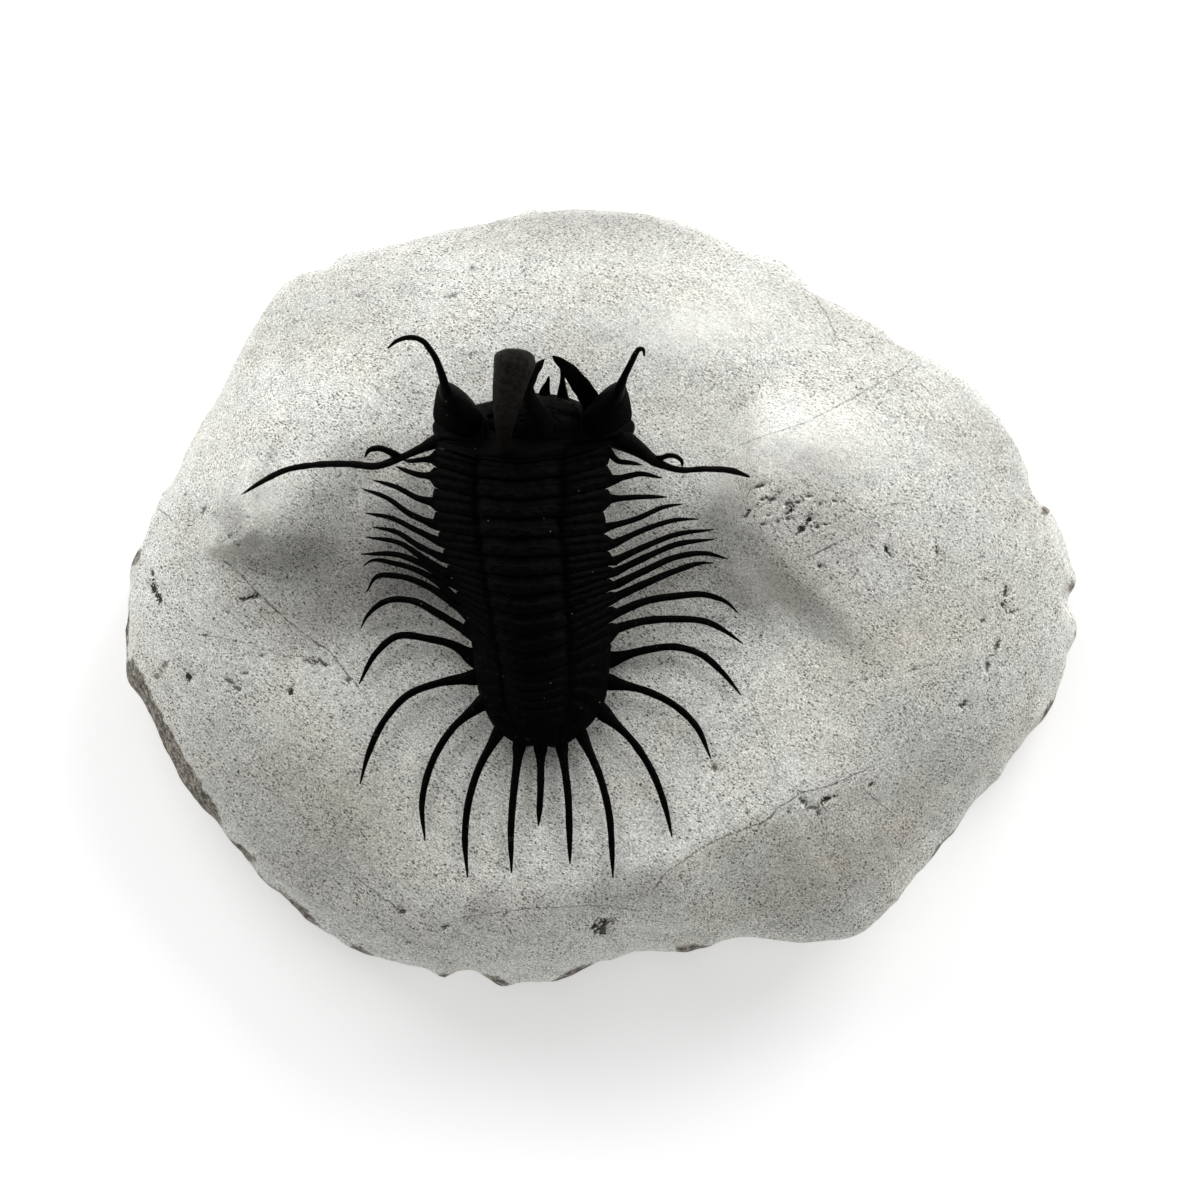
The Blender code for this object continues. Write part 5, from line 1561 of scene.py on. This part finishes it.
class FOSSIL_OT_head(bpy.types.Operator):
    """Adds the head shield with its glabella, eyes, trident and spines."""

    bl_idname = "fossil.head"
    bl_label = "Head shield"

    def execute(self, context):
        settings = context.scene.fossil_shell
        parts = [(self.shield(settings), CHEEK_BROWN),
                 (self.glabella(settings), GLABELLA_BROWN)]
        for name, rows, facing in (("left_eye", LEFT_EYE, -1.0), ("right_eye", RIGHT_EYE, 1.0)):
            rings, path = self.eye(rows, settings, facing)
            add_shell(name, [(wrap(rings, path[0], path[-1]), EYE_BROWN)], "cephalon")
        for rows, count, sides, flatness, brown in HEAD_GROWTHS:
            rings, path = growth(rows, count, sides, flatness)
            parts.append((wrap(rings, path[0], path[-1]), brown))
        add_shell("head_shield", parts, "cephalon")
        return {"FINISHED"}

    @staticmethod
    def eye(rows, settings, outward_side):
        """Rings of one eye and its centre line: slanted ellipses that draw in to
        a spine, laid out in the picture and set at their heights.

        Rings and sides are closer together where the lenses are, on the lower
        part and on the side turned away from the head. The lenses are rounded
        tops on a staggered grid that follows the rings.
        """
        dense = smooth(rows, 900)
        middle = point_at(dense[:, :2], dense[:, 2] * MM)
        length = np.linalg.norm(np.diff(middle, axis=0), axis=1)
        length = np.concatenate(([0.0], np.cumsum(length)))
        stops = np.concatenate((np.linspace(0.0, LENS_END, LENS_RINGS),
                                np.linspace(LENS_END, length[-1], EYE_SPINE_RINGS)[1:]))
        rows = np.stack([np.interp(stops, length, column) for column in dense.T], axis=1)
        share = np.arange(EYE_SIDES) / EYE_SIDES
        facing = math.atan2(-0.75, outward_side)
        turn = TURN * share + 0.62 * np.sin(TURN * share) + math.pi + facing
        wide = rows[:, 3:4] * np.cos(turn)
        down = rows[:, 1:2] + rows[:, 5:6] * wide - rows[:, 4:5] * np.sin(turn)
        pixels = np.stack((rows[:, :1] + wide, down), axis=-1)
        path = point_at(rows[:, :2], rows[:, 2] * MM)
        rings = point_at(pixels, np.broadcast_to(rows[:, 2:3] * MM, pixels.shape[:2]))
        # The spine's rings turn with its course, the eye's stay level
        heading = unit(np.gradient(path, axis=0))
        sideways = unit(np.cross(np.broadcast_to((0.0, 1.0, 0.0), path.shape), heading))
        forward = np.cross(heading, sideways)
        slim = rows[:, 3, None, None] * PIXEL
        turned = path[:, None, :] + slim * (np.cos(turn)[None, :, None] * sideways[:, None, :]
                                            + np.sin(turn)[None, :, None] * forward[:, None, :])
        rings = mix(rings, turned, ramp(stops, LENS_END, LENS_END + 3.0 * MM)[:, None, None])
        pitch = settings.lens_pitch
        columns = round(TURN * LENS_ROUND * PIXEL / pitch)
        row = stops[:, None] / (pitch * 0.87)
        u = (turn / TURN * columns + 0.5 * (np.floor(row) % 2)) % 1.0 - 0.5
        v = row % 1.0 - 0.5
        dome = np.sqrt(np.clip(1.0 - (u**2 + v**2) / 0.22, 0.0, 1.0))
        cover = ramp(np.cos(turn - facing), -0.30, -0.1)
        cover = cover * (1.0 - ramp(stops, 8.0 * MM, 8.8 * MM))[:, None]
        behind = turn - facing - math.pi
        brim = bell(behind - np.round(behind / TURN) * TURN, 0.5)
        lift = dome * cover * LENS_HEIGHT + brim * BRIM_HEIGHT * (stops < LENS_END)[:, None]
        outward_way = unit(rings - path[:, None, :])
        return rings + outward_way * lift[..., None], path

    @staticmethod
    def shield(settings):
        """Cheeks and neck ring: the body sheet from the front edge to the joint,
        with a raised neck ring, a border furrow and tubercles."""
        sheet = BodySheet()
        station, place = np.meshgrid(np.linspace(HEAD_FRONT, HEAD_REAR, 90),
                                     np.linspace(-1.0, 1.0, 181), indexing="ij")
        top = sheet.at(station, place)
        away = np.abs(place)
        in_axis = 1.0 - ramp(away, 0.44, 0.52)
        ring = ramp(station, -0.85, -0.62) * (1.0 - ramp(station, -0.2, -0.1) * 0.6)
        border = ramp(station, -0.5, -0.36)
        furrow = bell(station + 0.62, 0.10)
        top[..., 2] += 0.5 * MM * (mix(border, ring, in_axis) - 0.8 * furrow)
        rng = np.random.default_rng(3)
        picks = top[rng.integers(12, 72, 260), rng.integers(6, 175, 260)]
        top[..., 2] += knobs(top, picks, CHEEK_TUBERCLE, settings.tubercle_height)
        low = top[:, ::-3]
        low = mix(low.mean(axis=(0, 1)), low, np.array((0.93, 0.80, 1.0)))
        low[..., 2] = HEAD_UNDERSIDE
        loops = np.concatenate((top, low), axis=1)
        return capped(loops)

    @staticmethod
    def glabella(settings):
        """Squarish dome: rings of a superellipse that draw in to a rounded top,
        with two pairs of side furrows and scattered tubercles."""
        centre = point_at(GLABELLA_PIXEL, GLABELLA_HEIGHT)
        angles = np.arange(GLABELLA_SIDES) * TURN / GLABELLA_SIDES
        lift = np.sin(np.linspace(0.0, 0.995, 100) * math.pi / 2)[:, None]
        width = (1.0 - lift**GLABELLA_POWER) ** (1.0 / GLABELLA_POWER)
        power = 2.0 / GLABELLA_POWER
        x, y = (np.sign(way) * np.abs(way) ** power * radius * width
                for way, radius in zip((np.cos(angles), np.sin(angles)), GLABELLA_RADII))
        z = np.broadcast_to(lift * GLABELLA_RADII[2], x.shape)
        furrows = np.zeros(x.shape)
        for level in (-1.7 * MM, 0.6 * MM):
            groove = bell(y - level, 0.28 * MM)
            furrows += groove * ramp(np.abs(x), 2.2 * MM, 4.5 * MM)
        offset = np.stack((x, y, z), axis=-1)
        dome = centre + offset
        normal = unit(offset / GLABELLA_RADII)
        rng = np.random.default_rng(14)
        picks = dome[rng.integers(25, 96, 150), rng.integers(0, GLABELLA_SIDES, 150)]
        raised = knobs(dome, picks, GLABELLA_TUBERCLE, settings.tubercle_height * 1.3)
        dome = dome + normal * (raised - 0.35 * MM * furrows)[..., None]
        return wrap(dome, centre, dome[-1].mean(axis=0))


class FOSSIL_PT_panel(bpy.types.Panel):
    """Sidebar panel that lists the pieces and their settings."""

    bl_idname = "FOSSIL_PT_panel"
    bl_label = "Trilobite on limestone"
    bl_space_type = "VIEW_3D"
    bl_region_type = "UI"
    bl_category = "Fossil"

    def draw(self, context):
        for operator in OPERATORS:
            self.layout.operator(operator.bl_idname)
        for name, group in GROUPS:
            box = self.layout.box()
            for setting in group.__annotations__:
                box.prop(getattr(context.scene, name), setting)


GROUPS = (
    ("fossil_stone", StoneSettings),
    ("fossil_shell", ShellSettings),
    ("fossil_stage", StageSettings),
)
OPERATORS = (FOSSIL_OT_stage, FOSSIL_OT_stone, FOSSIL_OT_head, FOSSIL_OT_thorax, FOSSIL_OT_tail)


def register():
    """Registers the settings, the operators and the panel."""
    for name, group in GROUPS:
        bpy.utils.register_class(group)
        setattr(bpy.types.Scene, name, bpy.props.PointerProperty(type=group))
    for operator in OPERATORS:
        bpy.utils.register_class(operator)
    bpy.utils.register_class(FOSSIL_PT_panel)


def unregister():
    """Takes out what register put in, last first."""
    bpy.utils.unregister_class(FOSSIL_PT_panel)
    for operator in reversed(OPERATORS):
        bpy.utils.unregister_class(operator)
    for name, group in reversed(GROUPS):
        delattr(bpy.types.Scene, name)
        bpy.utils.unregister_class(group)


def main():
    """Builds everything in order."""
    register()
    bpy.ops.fossil.stage()
    bpy.ops.fossil.stone()
    bpy.ops.fossil.head()
    bpy.ops.fossil.thorax()
    bpy.ops.fossil.tail()


if __name__ == "__main__":
    main()
